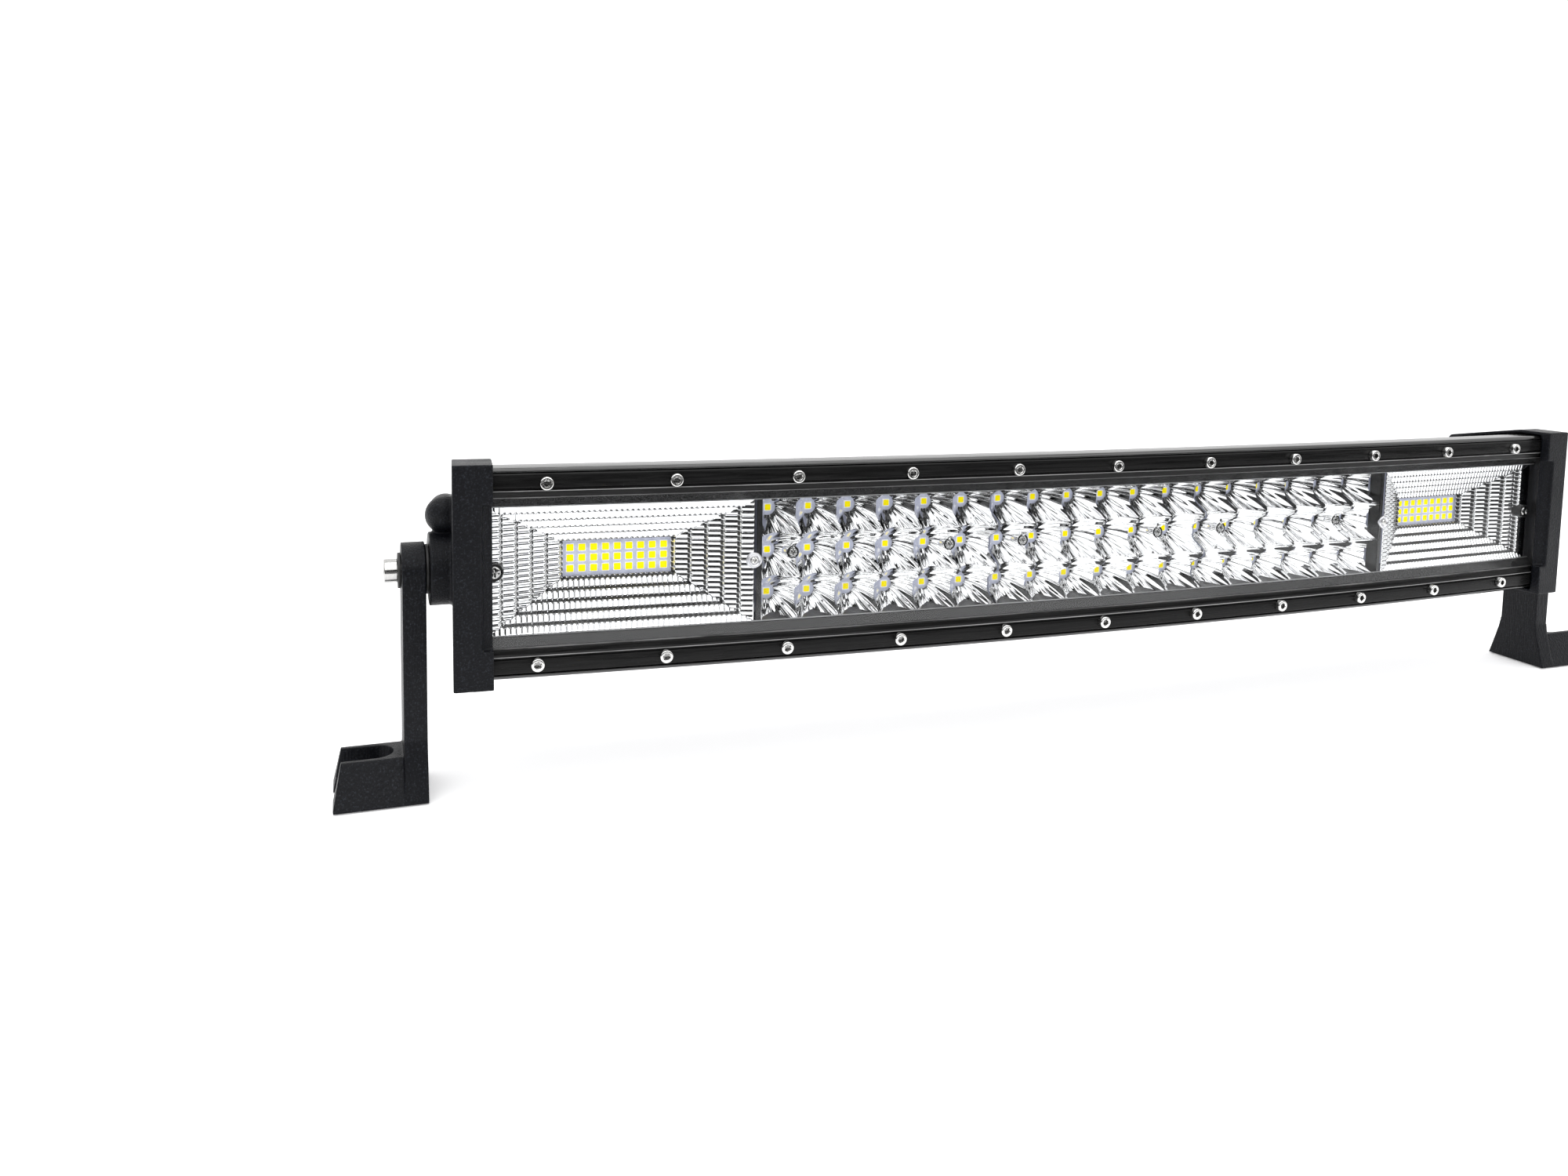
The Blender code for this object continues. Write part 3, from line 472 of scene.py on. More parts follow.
def clear_sheet():
    """Clear polycarbonate with a faint haze and a gloss that grows towards grazing."""
    material = new_material("clear_polycarbonate")
    nodes, links = tree(material)
    nodes.remove(nodes["Principled BSDF"])
    output = nodes["Material Output"]
    through = nodes.new("ShaderNodeBsdfTransparent")
    gloss = nodes.new("ShaderNodeBsdfGlossy")
    mix = nodes.new("ShaderNodeMixShader")
    facing = nodes.new("ShaderNodeLayerWeight")
    facing.inputs["Blend"].default_value = 0.5
    share = ramp(material, facing.outputs["Facing"], LENS_GLOSS)
    haze = noise(material, 300, 4)
    tint = blend(material, haze, (0.965, 0.97, 0.975), (0.985, 0.988, 0.99))
    rough = blend(material, haze, 0.01, 0.03)
    links.new(tint, through.inputs["Color"])
    links.new(rough, gloss.inputs["Roughness"])
    links.new(share, mix.inputs["Fac"])
    links.new(through.outputs["BSDF"], mix.inputs[1])
    links.new(gloss.outputs["BSDF"], mix.inputs[2])
    links.new(mix.outputs["Shader"], output.inputs["Surface"])
    return material


LOOKS = {
    "casting": powder_coat("black_powder_coat", (1, 1, 1)),
    "bracket": powder_coat("black_bracket_coat", (1, 1, 0.12)),
    "housing": anodised("black_anodised_housing", 0.003, 0.010, 0.9, 0.12),
    "trim": anodised("black_anodised_trim", 0.003, 0.010, 0.14),
    # Painted highlights: light strips on the trims' edges and on the lens frame's rim and lip
    "edge": anodised("painted_highlight_trim_edge", 0.10, 0.30, 0.5),
    "bright_rim": anodised("painted_highlight_frame_rim", 0.16, 0.34, 0.5),
    "bright_lip": anodised("painted_highlight_frame_lip", 0.05, 0.22, 0.5),
    "reflector": mirror_coat("mirror_coat", 0.98),
    # Painted shade: a dark finish in place of the mirror coat on flood risers and spot ledges
    "riser": polymer_and_painted_shade("painted_shade_facet", 0.035, 0.25, 0.4),
    "led_board": board_mask(),
    "phosphor": phosphor(),
    "led_frame": led_frame(),
    "steel": stainless("stainless_steel", 0.86),
    "bolt": stainless("polished_bolt", 0.60),
    # Painted shade: darker steel for the inside of the hexagon key recesses
    "socket": stainless("painted_shade_socket_steel", 0.28),
    "small_screw": stainless("plated_small_screw", 0.50),
    "lug": metallised_lug(),
    "gland": polymer_and_painted_shade("black_nylon", 0.018, 0.35, 0.5),
    "washer": polymer_and_painted_shade("black_washer", 0.012, 0.4, 0.55),
    "seal": polymer_and_painted_shade("black_silicone", 0.012, 0.6, 0.8),
    "frame": polymer_and_painted_shade("gloss_black_frame", 0.022, 0.10, 0.20),
    "lens": clear_sheet(),
}


# ---------------------------------------------------------------- building tools

def add_object(name, mesh, look, sharp):
    mesh.shade_smooth()
    if sharp is not None:
        mesh.set_sharp_from_angle(angle=math.radians(sharp))
    obj = bpy.data.objects.new(name, mesh)
    bpy.context.scene.collection.objects.link(obj)
    if look is not None:
        obj.data.materials.append(LOOKS[look])
    return obj


def add_mesh(name, vertices, faces, look, sharp=SHARP):
    """Mesh object from millimetre points."""
    mesh = bpy.data.meshes.new(name)
    mesh.from_pydata([tuple(MM * c for c in point) for point in vertices], [], faces)
    mesh.validate()
    return add_object(name, mesh, look, sharp)


def moved(bm, matrix):
    bmesh.ops.transform(bm, matrix=matrix, verts=bm.verts)
    return bm


def from_bmesh(name, bm, look, sharp, place=None):
    """Object from a millimetre bmesh; place moves its points before they are scaled."""
    if place is not None:
        moved(bm, place)
    bmesh.ops.recalc_face_normals(bm, faces=bm.faces)
    moved(bm, Matrix.Diagonal((MM, MM, MM, 1)))
    mesh = bpy.data.meshes.new(name)
    bm.to_mesh(mesh)
    bm.free()
    return add_object(name, mesh, look, sharp)


def declare(obj, body, slot, *nodes):
    """Say which body a piece rides on and the CAD nodes it replaces; the material slot is not
    used.
    """
    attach(obj, body)
    if nodes:
        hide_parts(*nodes)


def mirrored(section, sign):
    """The section as it is for sign 1, upside down for sign -1."""
    return [(depth, sign * height) for depth, height in section]


def both_halves(upper):
    return upper + mirrored(reversed(upper), -1)


def centred(count, pitch):
    """Evenly spaced places around zero."""
    return [pitch * (index - (count - 1) / 2) for index in range(count)]


def fillet(points, radius, steps):
    """Round every corner of a closed section, as far as its edges allow."""
    rounded = []
    count = len(points)
    for index, corner in enumerate(points):
        corner = np.array(corner, float)
        before = np.array(points[index - 1], float) - corner
        after = np.array(points[(index + 1) % count], float) - corner
        reach = min(radius, 0.45 * np.linalg.norm(before), 0.45 * np.linalg.norm(after))
        start = corner + before / np.linalg.norm(before) * reach
        end = corner + after / np.linalg.norm(after) * reach
        for step in range(steps + 1):
            t = step / steps
            rounded.append(tuple((1 - t) ** 2 * start + 2 * t * (1 - t) * corner + t * t * end))
    return rounded


def swept(name, section, look):
    """Bend a section along the bar, from end to end."""
    vertices, faces = [], []
    count = len(section)
    for step in range(BAR_STEPS + 1):
        place = bar_frame(END_ANGLE * (2 * step / BAR_STEPS - 1))
        vertices += [place @ Vector((0, depth, height)) for depth, height in section]
    for step in range(BAR_STEPS):
        row = step * count
        for index in range(count):
            after = (index + 1) % count
            faces.append((row + index, row + after, row + count + after, row + count + index))
    faces.append(tuple(range(count)))
    faces.append(tuple(reversed(range(BAR_STEPS * count, (BAR_STEPS + 1) * count))))
    obj = add_mesh(name, vertices, faces, look)
    bm = bmesh.new()
    bm.from_mesh(obj.data)
    bmesh.ops.recalc_face_normals(bm, faces=bm.faces)
    bm.to_mesh(obj.data)
    bm.free()
    return obj


def turned(points, closed=False, segments=48):
    """Solid of revolution about Z from (radius, height) points."""
    bm = bmesh.new()
    verts = [bm.verts.new((radius, 0, height)) for radius, height in points]
    pairs = list(zip(verts, verts[1:]))
    if closed:
        pairs.append((verts[-1], verts[0]))
    edges = [bm.edges.new(pair) for pair in pairs]
    bmesh.ops.spin(bm, geom=verts + edges, cent=(0, 0, 0), axis=(0, 0, 1),
                   angle=math.tau, steps=segments, use_merge=True)
    bmesh.ops.remove_doubles(bm, verts=bm.verts, dist=MERGE)
    return bm


def rod(bm, radius, start, end, segments=64):
    start = Vector(start)
    line = Vector(end) - start
    turn = line.to_track_quat("Z", "Y").to_matrix().to_4x4()
    bmesh.ops.create_cone(bm, cap_ends=True, segments=segments, radius1=radius, radius2=radius,
                          depth=line.length, matrix=Matrix.Translation(start + line / 2) @ turn)


def box(bm, low, high):
    size = Vector(high) - Vector(low)
    place = Matrix.Translation((Vector(high) + Vector(low)) / 2) @ Matrix.Diagonal((*size, 1))
    bmesh.ops.create_cube(bm, size=1, matrix=place)


def plate(section, x_from, x_to):
    """Straight prism of a section along X."""
    bm = bmesh.new()
    verts = [bm.verts.new((x_from, depth, height)) for depth, height in section]
    face = bm.faces.new(verts)
    result = bmesh.ops.extrude_face_region(bm, geom=[face])
    far = [item for item in result["geom"] if isinstance(item, bmesh.types.BMVert)]
    bmesh.ops.translate(bm, verts=far, vec=(x_to - x_from, 0, 0))
    return bm


def cast_piece(name, body, steps, voxel, look):
    """Casting: join and cut solids, then remesh so that every edge is softly rounded."""
    base = from_bmesh(name + "_base", body, None, None)
    helpers = []
    for operation, bm in steps:
        helper = from_bmesh(name + "_tool", bm, None, None)
        helpers.append(helper)
        modifier = base.modifiers.new("cut", "BOOLEAN")
        modifier.operation = operation
        modifier.solver = "EXACT"
        modifier.object = helper
    remesh = base.modifiers.new("remesh", "REMESH")
    remesh.mode = "VOXEL"
    remesh.voxel_size = voxel * MM
    soft = base.modifiers.new("soft", "SMOOTH")
    soft.factor = 0.5
    soft.iterations = 3
    bpy.context.view_layer.update()
    evaluated = base.evaluated_get(bpy.context.evaluated_depsgraph_get())
    mesh = bpy.data.meshes.new_from_object(evaluated)
    mesh.name = name
    for helper in [base, *helpers]:
        bpy.data.objects.remove(helper)
    return add_object(name, mesh, look, None)


def face_front(place, seat):
    """Frame at a depth behind the trims' front, with Z pointing out of the front."""
    return place @ Matrix.Translation((0, seat, 0)) @ Matrix.Rotation(math.radians(90), 4, "X")


def face_left(spot, seat):
    """Frame at a (depth, height) spot of the left cap, with Z pointing out of that end."""
    place = END_FRAME @ Matrix.Translation((seat, *spot))
    return place @ Matrix.Rotation(math.radians(-90), 4, "Y")


# ---------------------------------------------------------------- bar

def housing_section():
    upper = list(HOUSING_UPPER)
    for index in reversed(range(FINS_PER_HALF)):
        height = FIN_PITCH * (index + 0.5)
        tip = FIN_ROOT + FIN_REACH * math.sqrt(1 - (height / FIN_ELLIPSE) ** 2)
        upper += [(FIN_ROOT, height + FIN_ROOT_HALF), (tip, height + FIN_TIP_HALF),
                  (tip, height - FIN_TIP_HALF), (FIN_ROOT, height - FIN_ROOT_HALF)]
    return both_halves(upper)


def build_housing():
    section = fillet(housing_section(), 0.5, 3)
    declare(swept("housing_extrusion", section, "housing"), "lamp", "housing", "housing")


def build_trims():
    for name, sign in (("top_trim", 1), ("bottom_trim", -1)):
        section = fillet(mirrored(TRIM_UPPER, sign), 0.2, 3)
        declare(swept(name + "_strip", section, "trim"), "lamp", "trim", name)
        # A light strip along the trim's edge: a painted highlight
        edge = swept(name + "_edge", mirrored(TRIM_EDGE, sign), "edge")
        declare(edge, "lamp", "trim")


def build_lens():
    """Clear sheet whose narrow sides are dark, and the dark frame with its two painted highlight
    lines.
    """
    sheet = swept("lens_sheet", LENS_SECTION, "lens")
    sheet.data.materials.append(LOOKS["frame"])
    for face in sheet.data.polygons:
        if abs(face.normal.y) < CLEAR_FACING:
            face.material_index = 1
    declare(sheet, "lamp", "lens", "lens")
    for name, sign in (("upper_lens_frame", 1), ("lower_lens_frame", -1)):
        strip = swept(name, fillet(mirrored(FRAME_UPPER, sign), 0.15, 2), "frame")
        declare(strip, "lamp", "seal", *(["lens_seal"] if sign > 0 else []))
        # Light lines on the frame's rim and lip: painted highlights
        for part, line in FRAME_LINES:
            piece = swept(f"{name}_{part}", mirrored(line, sign), f"bright_{part}")
            declare(piece, "lamp", "seal")


# ---------------------------------------------------------------- reflectors

def module_angle(index):
    return (index - (MODULES - 1) / 2) * MODULE / (BAR_RADIUS - LED_DEPTH)


def cup_spots():
    return [(x, z) for x in centred(COLUMNS, CELL) for z in centred(ROWS, CELL)]


def flood_spots():
    return [(x, z) for x in centred(FLOOD_COLUMNS, FLOOD_PITCH_X)
            for z in centred(ROWS, FLOOD_PITCH_Z)]


def cup_depth(radius, angle):
    """Depth of a fluted paraboloid whose focus is the LED; the flutes swirl as they open."""
    share = 0.5 + 0.5 * math.cos(FLUTES * angle + FLUTE_SWIRL * radius)
    focus = CUP_FOCUS * (1 + FLUTE_SHARE * (share - 0.5))
    depth = LED_DEPTH + focus - radius ** 2 / (4 * focus)
    return min(max(depth, RIM_DEPTH), REFLECTOR_BACK)


def cup_points(centre):
    """Rings of points from the LED hole out to the square cell's edge."""
    points = []
    around = FLUTES * FLUTE_STEPS
    for ring in range(CUP_RINGS + 1):
        share = (ring / CUP_RINGS) ** CUP_RING_SPREAD
        for step in range(around):
            angle = math.tau * step / around
            edge = CELL / 2 / max(abs(math.cos(angle)), abs(math.sin(angle)))
            radius = CUP_HOLE + (edge - CUP_HOLE) * share
            depth = cup_depth(radius, angle)
            x = centre[0] + radius * math.cos(angle)
            z = centre[1] + radius * math.sin(angle)
            if min(math.hypot(x - fixing, z) for fixing in FIXING_X) < FIXING_POCKET:
                depth = max(depth, FIXING_SEAT)
            points.append((x, depth, z))
    return points


def spot_reflector(name, place):
    """Three rows of square-mouthed cups between an upper and a lower ledge."""
    vertices, faces = [], []
    around = FLUTES * FLUTE_STEPS
    for centre in cup_spots():
        first = len(vertices)
        vertices += cup_points(centre)
        for ring in range(CUP_RINGS):
            for step in range(around):
                after = (step + 1) % around
                a = first + ring * around
                b = a + around
                faces.append((a + step, a + after, b + after, b + step))
    cups = CELL * ROWS / 2
    edge = CAVITY_HALF - SHELF_GAP
    shelves, ledges = [], []
    for sign in (-1, 1):
        shelves.append(((RIM_DEPTH, sign * cups), (RIM_DEPTH, sign * edge)))
        ledges.append(((RIM_DEPTH, sign * (cups + LEDGE_LAP)),
                       (LEDGE_DEPTH, sign * (cups - LEDGE_DROP))))
    for near, far in shelves + ledges:
        first = len(vertices)
        vertices += [(-MODULE / 2, *near), (MODULE / 2, *near),
                     (MODULE / 2, *far), (-MODULE / 2, *far)]
        faces.append((first, first + 1, first + 2, first + 3))
    vertices = [place @ Vector(point) for point in vertices]
    mirror = add_mesh(name, vertices, faces, "reflector", None)
    # The ledges take the dark finish: painted shade on the mirror
    mirror.data.materials.append(LOOKS["riser"])
    for face in list(mirror.data.polygons)[-len(ledges):]:
        face.material_index = 1
    return mirror


def flood_lines(window, rim, edge):
    """Grid lines across the funnel: even lines, with close ones through each riser."""
    lines = list(np.arange(-edge, edge + 0.01, FLUTE_PITCH / LINES_PER_FLUTE))
    pitch = (rim - window) / FLOOD_STEPS
    for step in range(FLOOD_STEPS + 1):
        for share in RISER_LINES:
            place = window + pitch * (step + share)
            if place < edge:
                lines += [place, -place]
    return np.array(sorted(set(round(float(line), 3) for line in lines)))


def funnel_shares(x, z):
    """Way from the LED window out to the rim, as seen by the end walls and by top and bottom."""
    across = (np.abs(x) - WINDOW_HALF_X) / (RIM_HALF_X - WINDOW_HALF_X)
    up = (np.abs(z) - WINDOW_HALF_Z) / (RIM_HALF_Z - WINDOW_HALF_Z)
    return across, up


def flute_offset(along):
    """Place across a flute, -1 to 1."""
    return 2 * (along / FLUTE_PITCH - np.round(along / FLUTE_PITCH))


def flood_depth(x, z):
    """Stepped rectangular funnel; each tread is a row of small convex flutes."""
    across, up = funnel_shares(x, z)
    side = across > up
    share = np.clip(np.maximum(across, up), 0, 1)
    level = np.minimum(np.floor(share * FLOOD_STEPS), FLOOD_STEPS - 1)
    pillow = 1 - flute_offset(np.where(side, z, x)) ** 2
    scallop, rise, height = (
        np.where(side, np.where(x < 0, values["left"], values["right"]),
                 np.where(z > 0, values["top"], values["bottom"]))
        for values in (SCALLOPS, TREAD_RISES, PILLOW_HEIGHTS))
    inside = np.clip(share * FLOOD_STEPS - level - scallop * (1 - pillow), 0, 1)
    riser = np.clip(inside / RISER_SHARE, 0, 1)
    tread = np.clip((inside - RISER_SHARE) / (1 - RISER_SHARE), 0, 1)
    drop = (FUNNEL_FOOT - RIM_DEPTH) / FLOOD_STEPS
    depth = FUNNEL_FOOT - drop * (level + (1 - rise) * riser + rise * tread) - height * pillow
    return np.where(share >= 1, RIM_DEPTH, depth)


def painted_shade_on_riser(x, z):
    """True on the steep faces that only see the inside of the funnel; these take the painted
    shade.
    """
    across, up = funnel_shares(x, z)
    if across > up:
        along, wall = z, "left" if x < 0 else "right"
    else:
        along, wall = x, "top" if z > 0 else "bottom"
    share = max(up, across)
    offset = flute_offset(along)
    inside = share * FLOOD_STEPS % 1 - SCALLOPS[wall] * offset ** 2
    depth, width = RISER_PAINTED_SHADE[wall]
    return 0 < share < 1 and 0 <= inside < depth and abs(offset) < width


def flood_reflector(name, place):
    """Stepped funnel round the open LED window, with painted shade on the shaded part of its
    risers.
    """
    xs = flood_lines(WINDOW_HALF_X, RIM_HALF_X, FLOOD_HALF_X)
    zs = flood_lines(WINDOW_HALF_Z, RIM_HALF_Z, FLOOD_HALF_Z)
    x, z = np.meshgrid(xs, zs)
    depth = flood_depth(x, z)
    vertices = [place @ Vector((float(a), float(b), float(c)))
                for a, b, c in zip(x.ravel(), depth.ravel(), z.ravel())]
    faces, shaded = [], []
    width = len(xs)
    for row in range(len(zs) - 1):
        for column in range(width - 1):
            middle_x = float(xs[column] + xs[column + 1]) / 2
            middle_z = float(zs[row] + zs[row + 1]) / 2
            if abs(middle_x) < WINDOW_HALF_X and abs(middle_z) < WINDOW_HALF_Z:
                continue
            a = row * width + column
            faces.append((a, a + 1, a + width + 1, a + width))
            shaded.append(int(painted_shade_on_riser(middle_x, middle_z)))
    funnel = add_mesh(name, vertices, faces, "reflector", 50)
    funnel.data.materials.append(LOOKS["riser"])
    funnel.data.polygons.foreach_set("material_index", shaded)
    return funnel


def led_pieces(name, place, spots, half):
    """White packages and the yellow phosphor in each, a square of the given half width."""
    frames, glows = bmesh.new(), bmesh.new()
    side = LED_SIZE / 2
    square = fillet([(-half, -half), (half, -half), (half, half), (-half, half)],
                    PHOSPHOR_CORNER, 4)
    for x, z in spots:
        box(frames, (x - side, LED_DEPTH, z - side), (x + side, BOARD_FRONT, z + side))
        low, high = ([glows.verts.new((x + a * taper, LED_DEPTH - rise, z + b * taper))
                      for a, b in square]
                     for taper, rise in ((1, PHOSPHOR_BASE), (PHOSPHOR_TAPER, PHOSPHOR_TOP)))
        count = len(square)
        for index in range(count):
            after = (index + 1) % count
            glows.faces.new((low[index], low[after], high[after], high[index]))
        glows.faces.new(high)
    bmesh.ops.bevel(frames, geom=frames.edges[:], offset=LED_BEVEL, segments=2, affect="EDGES")
    packages = from_bmesh(name + "_led_frames", frames, "led_frame", 40, place)
    phosphors = from_bmesh(name + "_led_phosphor", glows, "phosphor", 40, place)
    phosphors.visible_glossy = False
    return packages, phosphors


def build_modules():
    for index, name in enumerate(MODULE_NAMES):
        place = bar_frame(module_angle(index)) @ Matrix.Diagonal((SQUEEZE, 1, 1, 1))
        if name.endswith("flood"):
            reflector, spots, half = flood_reflector, flood_spots(), FLOOD_PHOSPHOR_HALF
        else:
            reflector, spots, half = spot_reflector, cup_spots(), CUP_PHOSPHOR_HALF
        mirror = reflector(name + "_mirror", place)
        declare(mirror, "lamp", "reflector", name + "_reflector")
        board = bmesh.new()
        box(board, (-MODULE / 2, BOARD_FRONT, -BOARD_HALF), (MODULE / 2, BOARD_BACK, BOARD_HALF))
        board = from_bmesh(name + "_board", board, "led_board", 30, place)
        declare(board, "lamp", "led_board", name + "_led_board")
        for piece in led_pieces(name, place, spots, half):
            declare(piece, "lamp", "led_board")


def cross_screw(radius, height):
    """Small round-headed screw along Z with a cross recess."""
    shank, root, rim = radius * 0.5, -3.0, 0.15
    points = [(0, root), (shank, root), (shank, 0), (radius, 0)]
    for step in range(7):
        angle = math.radians(15 * step)
        out = radius * math.cos(angle) * 0.98
        points.append((out, rim + (height - rim) * math.sin(angle)))
    points[-1] = (0, height)
    bm = turned(points, segments=32)
    arm_width, arm_reach = radius * 0.14, radius * 0.72
    for vert in bm.verts:
        across = min(abs(vert.co.x), abs(vert.co.y))
        out = vert.co.xy.length
        if vert.co.z > 0.1 and across < arm_width and out < arm_reach:
            vert.co.z -= height * 0.6 * (1 - out / radius)
    return bm


def build_seams():
    """Strips over the seams, and beside each a bright lug with its screw."""
    for index, sign in SEAMS:
        name = MODULE_NAMES[index if sign > 0 else index + 1]
        angle = (module_angle(index) + module_angle(index + 1)) / 2
        place = bar_frame(angle) @ Matrix.Diagonal((sign, 1, 1, 1))
        lug_place = place @ Matrix.Translation((LUG_X, 0, 0))
        bm = bmesh.new()
        box(bm, *SEAM_STRIP)
        bmesh.ops.bevel(bm, geom=bm.edges[:], offset=SEAM_BEVEL, segments=2, affect="EDGES")
        strip = from_bmesh(name + "_seam_strip", bm, "frame", 40, place)
        declare(strip, "lamp", "seal")
        lug = from_bmesh(name + "_lug", turned(LUG_PROFILE), "lug", 60,
                         face_front(lug_place, LUG_SEAT))
        declare(lug, "lamp", "reflector")
        screw = from_bmesh(name + "_lug_screw", cross_screw(LUG_SCREW_RADIUS, FIXING_HEAD),
                           "steel", 40, face_front(lug_place, LUG_SCREW_SEAT))
        declare(screw, "lamp", "steel")


def build_fixings():
    """Screws that hold the reflectors: one at a flood module's outer end, two in a spot module."""
    for index, name in enumerate(MODULE_NAMES):
        place = bar_frame(module_angle(index))
        if name.endswith("flood"):
            inset = MODULE / 2 - FLOOD_FIXING_INSET
            spots = [inset if index else -inset]
            seat, radius = FLOOD_FIXING_SEAT, FLOOD_FIXING_RADIUS
            look, slot = "frame", "seal"
        else:
            spots = FIXING_X
            seat, radius = FIXING_SEAT, FIXING_RADIUS
            look, slot = "reflector", "reflector"
        rings = [(radius + extra, height) for extra, height in BOSS_PROFILE]
        for number, x in enumerate(spots):
            seat_place = face_front(place @ Matrix.Translation((x, 0, 0)), seat)
            label = f"{name}_fixing_{number + 1}"
            boss = turned([(0, BOSS_ROOT), *rings, (0, BOSS_SINK)])
            declare(from_bmesh(label + "_boss", boss, look, 30, seat_place), "lamp", slot)
            screw = from_bmesh(label + "_screw", cross_screw(radius, FIXING_HEAD), "small_screw",
                               40, seat_place)
            declare(screw, "lamp", "steel")


# ---------------------------------------------------------------- fasteners

def screw_frames():
    """Every socket screw's node and its frame, with Z pointing out of the head."""
    frames = []
    rows = (("top", TOP_SCREW_START, SCREW_Z), ("bottom", BOTTOM_SCREW_START, -SCREW_Z))
    for row, start, height in rows:
        for index in range(SCREWS_PER_TRIM):
            angle = (start + SCREW_PITCH * index) / BAR_RADIUS - HALF_ANGLE
            place = bar_frame(angle) @ Matrix.Translation((0, 0, height))
            frames.append((f"{row}_trim_screw_{index + 1:02d}", face_front(place, SCREW_SEAT)))
    for side in ("left", "right"):
        for index, spot in enumerate(CAP_SCREWS):
            place = face_left(spot, CAP_OUTER + CAP_SCREW_SINK + SCREW_SEAT)
            if side == "right":
                place = FLIP @ place
            frames.append((f"{side}_cap_screw_{index + 1}", place))
    return frames


def socket_head(radius, height, key, depth, shank, shank_length, segments=48):
    """Socket cap screw along Z with a rounded top edge and a hexagonal key recess."""
    foot, mouth_drop, cone = 0.15, 0.25, 0.3
    rounding = min(0.45, height * 0.2)
    points = [(0, -shank_length), (shank, -shank_length), (shank, 0), (radius - foot, 0),
              (radius, foot)]
    for step in range(5):
        angle = math.radians(90 * step / 4)
        points.append((radius - rounding + rounding * math.cos(angle),
                       height - rounding + rounding * math.sin(angle)))
    inner = key * 1.12
    points += [(inner, height), (inner - 0.18, height - 0.22)]
    bm = turned(points, segments=segments)
    rim = {vert for edge in bm.edges if edge.is_boundary for vert in edge.verts}
    ring = sorted(rim, key=lambda v: math.atan2(v.co.y, v.co.x))
    hexagon = []
    for vert in ring:
        angle = math.atan2(vert.co.y, vert.co.x)
        sector = (angle + math.pi / 6) % (math.pi / 3) - math.pi / 6
        reach = key * math.cos(math.pi / 6) / math.cos(sector)
        hexagon.append((reach * math.cos(angle), reach * math.sin(angle)))
    mouth = [bm.verts.new((x, y, height - mouth_drop)) for x, y in hexagon]
    floor = [bm.verts.new((x, y, height - depth)) for x, y in hexagon]
    middle = bm.verts.new((0, 0, height - depth - cone))
    count = len(ring)
    for index in range(count):
        after = (index + 1) % count
        bm.faces.new((ring[index], ring[after], mouth[after], mouth[index]))
        wall = bm.faces.new((mouth[index], mouth[after], floor[after], floor[index]))
        base = bm.faces.new((floor[index], floor[after], middle))
        # The recess takes the second slot, filled with steel darkened as painted shade
        wall.material_index = base.material_index = 1
    return bm


def build_screws():
    for index, (node, place) in enumerate(screw_frames()):
        turn = Matrix.Rotation(math.radians(SCREW_TURN * index), 4, "Z")
        screw = from_bmesh(node + "_head", socket_head(**SCREW_HEAD), "steel", 30, place @ turn)
        # The key recess takes the darker steel: painted shade
        screw.data.materials.append(LOOKS["socket"])
        declare(screw, "lamp", "steel", node)


def build_pivots():
    """Hinge bolts and washers, in a frame on the hinge axis with Z pointing out of the end."""
    for side, quarter in (("left", -90), ("right", 90)):
        place = Matrix.Translation(PIVOT) @ Matrix.Rotation(math.radians(quarter), 4, "Y")
        bolt = from_bmesh(f"{side}_hinge_bolt", socket_head(**HINGE_BOLT), "bolt", 30,
                          place @ Matrix.Translation((0, 0, BOLT_HEAD)))
        # The key recess takes the darker steel: painted shade
        bolt.data.materials.append(LOOKS["socket"])
        declare(bolt, "lamp", "steel", f"{side}_pivot_bolt")
        for kind, low, high, radius in WASHERS:
            node = f"{side}_{kind}"
            section = fillet([(WASHER_BORE, low), (radius, low), (radius, high),
                              (WASHER_BORE, high)], 0.25, 3)
            bm = turned(section, closed=True, segments=64)
            declare(from_bmesh(node + "_ring", bm, "washer", 35, place), "lamp", "washer", node)


# ---------------------------------------------------------------- castings

def at_end(bm, side):
    moved(bm, END_FRAME)
    return moved(bm, FLIP) if side == "right" else bm


def hinge_rod(side, radius, x_from, x_to):
    bm = bmesh.new()
    sign = -1 if side == "left" else 1
    rod(bm, radius, (sign * x_from, PIVOT.y, PIVOT.z), (sign * x_to, PIVOT.y, PIVOT.z))
    return bm


def cable_hood():
    """Round-nosed hood on the left cap that falls towards the gland behind it."""
    length = HOOD_BACK - HOOD_FRONT
    points = [(0, 0), (HOOD_RADIUS, 0), (HOOD_RADIUS, length)]
    for step in range(1, 11):
        angle = math.radians(9 * step)
        radius = HOOD_RADIUS * math.cos(angle)
        points.append((radius if step < 10 else 0, length + HOOD_RADIUS * math.sin(angle)))
    bm = moved(turned(points), face_front(Matrix.Translation((HOOD_X, 0, GLAND_Z)), HOOD_BACK))
    for vert in bm.verts:
        vert.co.z += HOOD_DROP * (HOOD_BACK - vert.co.y) / length
    return at_end(bm, "left")


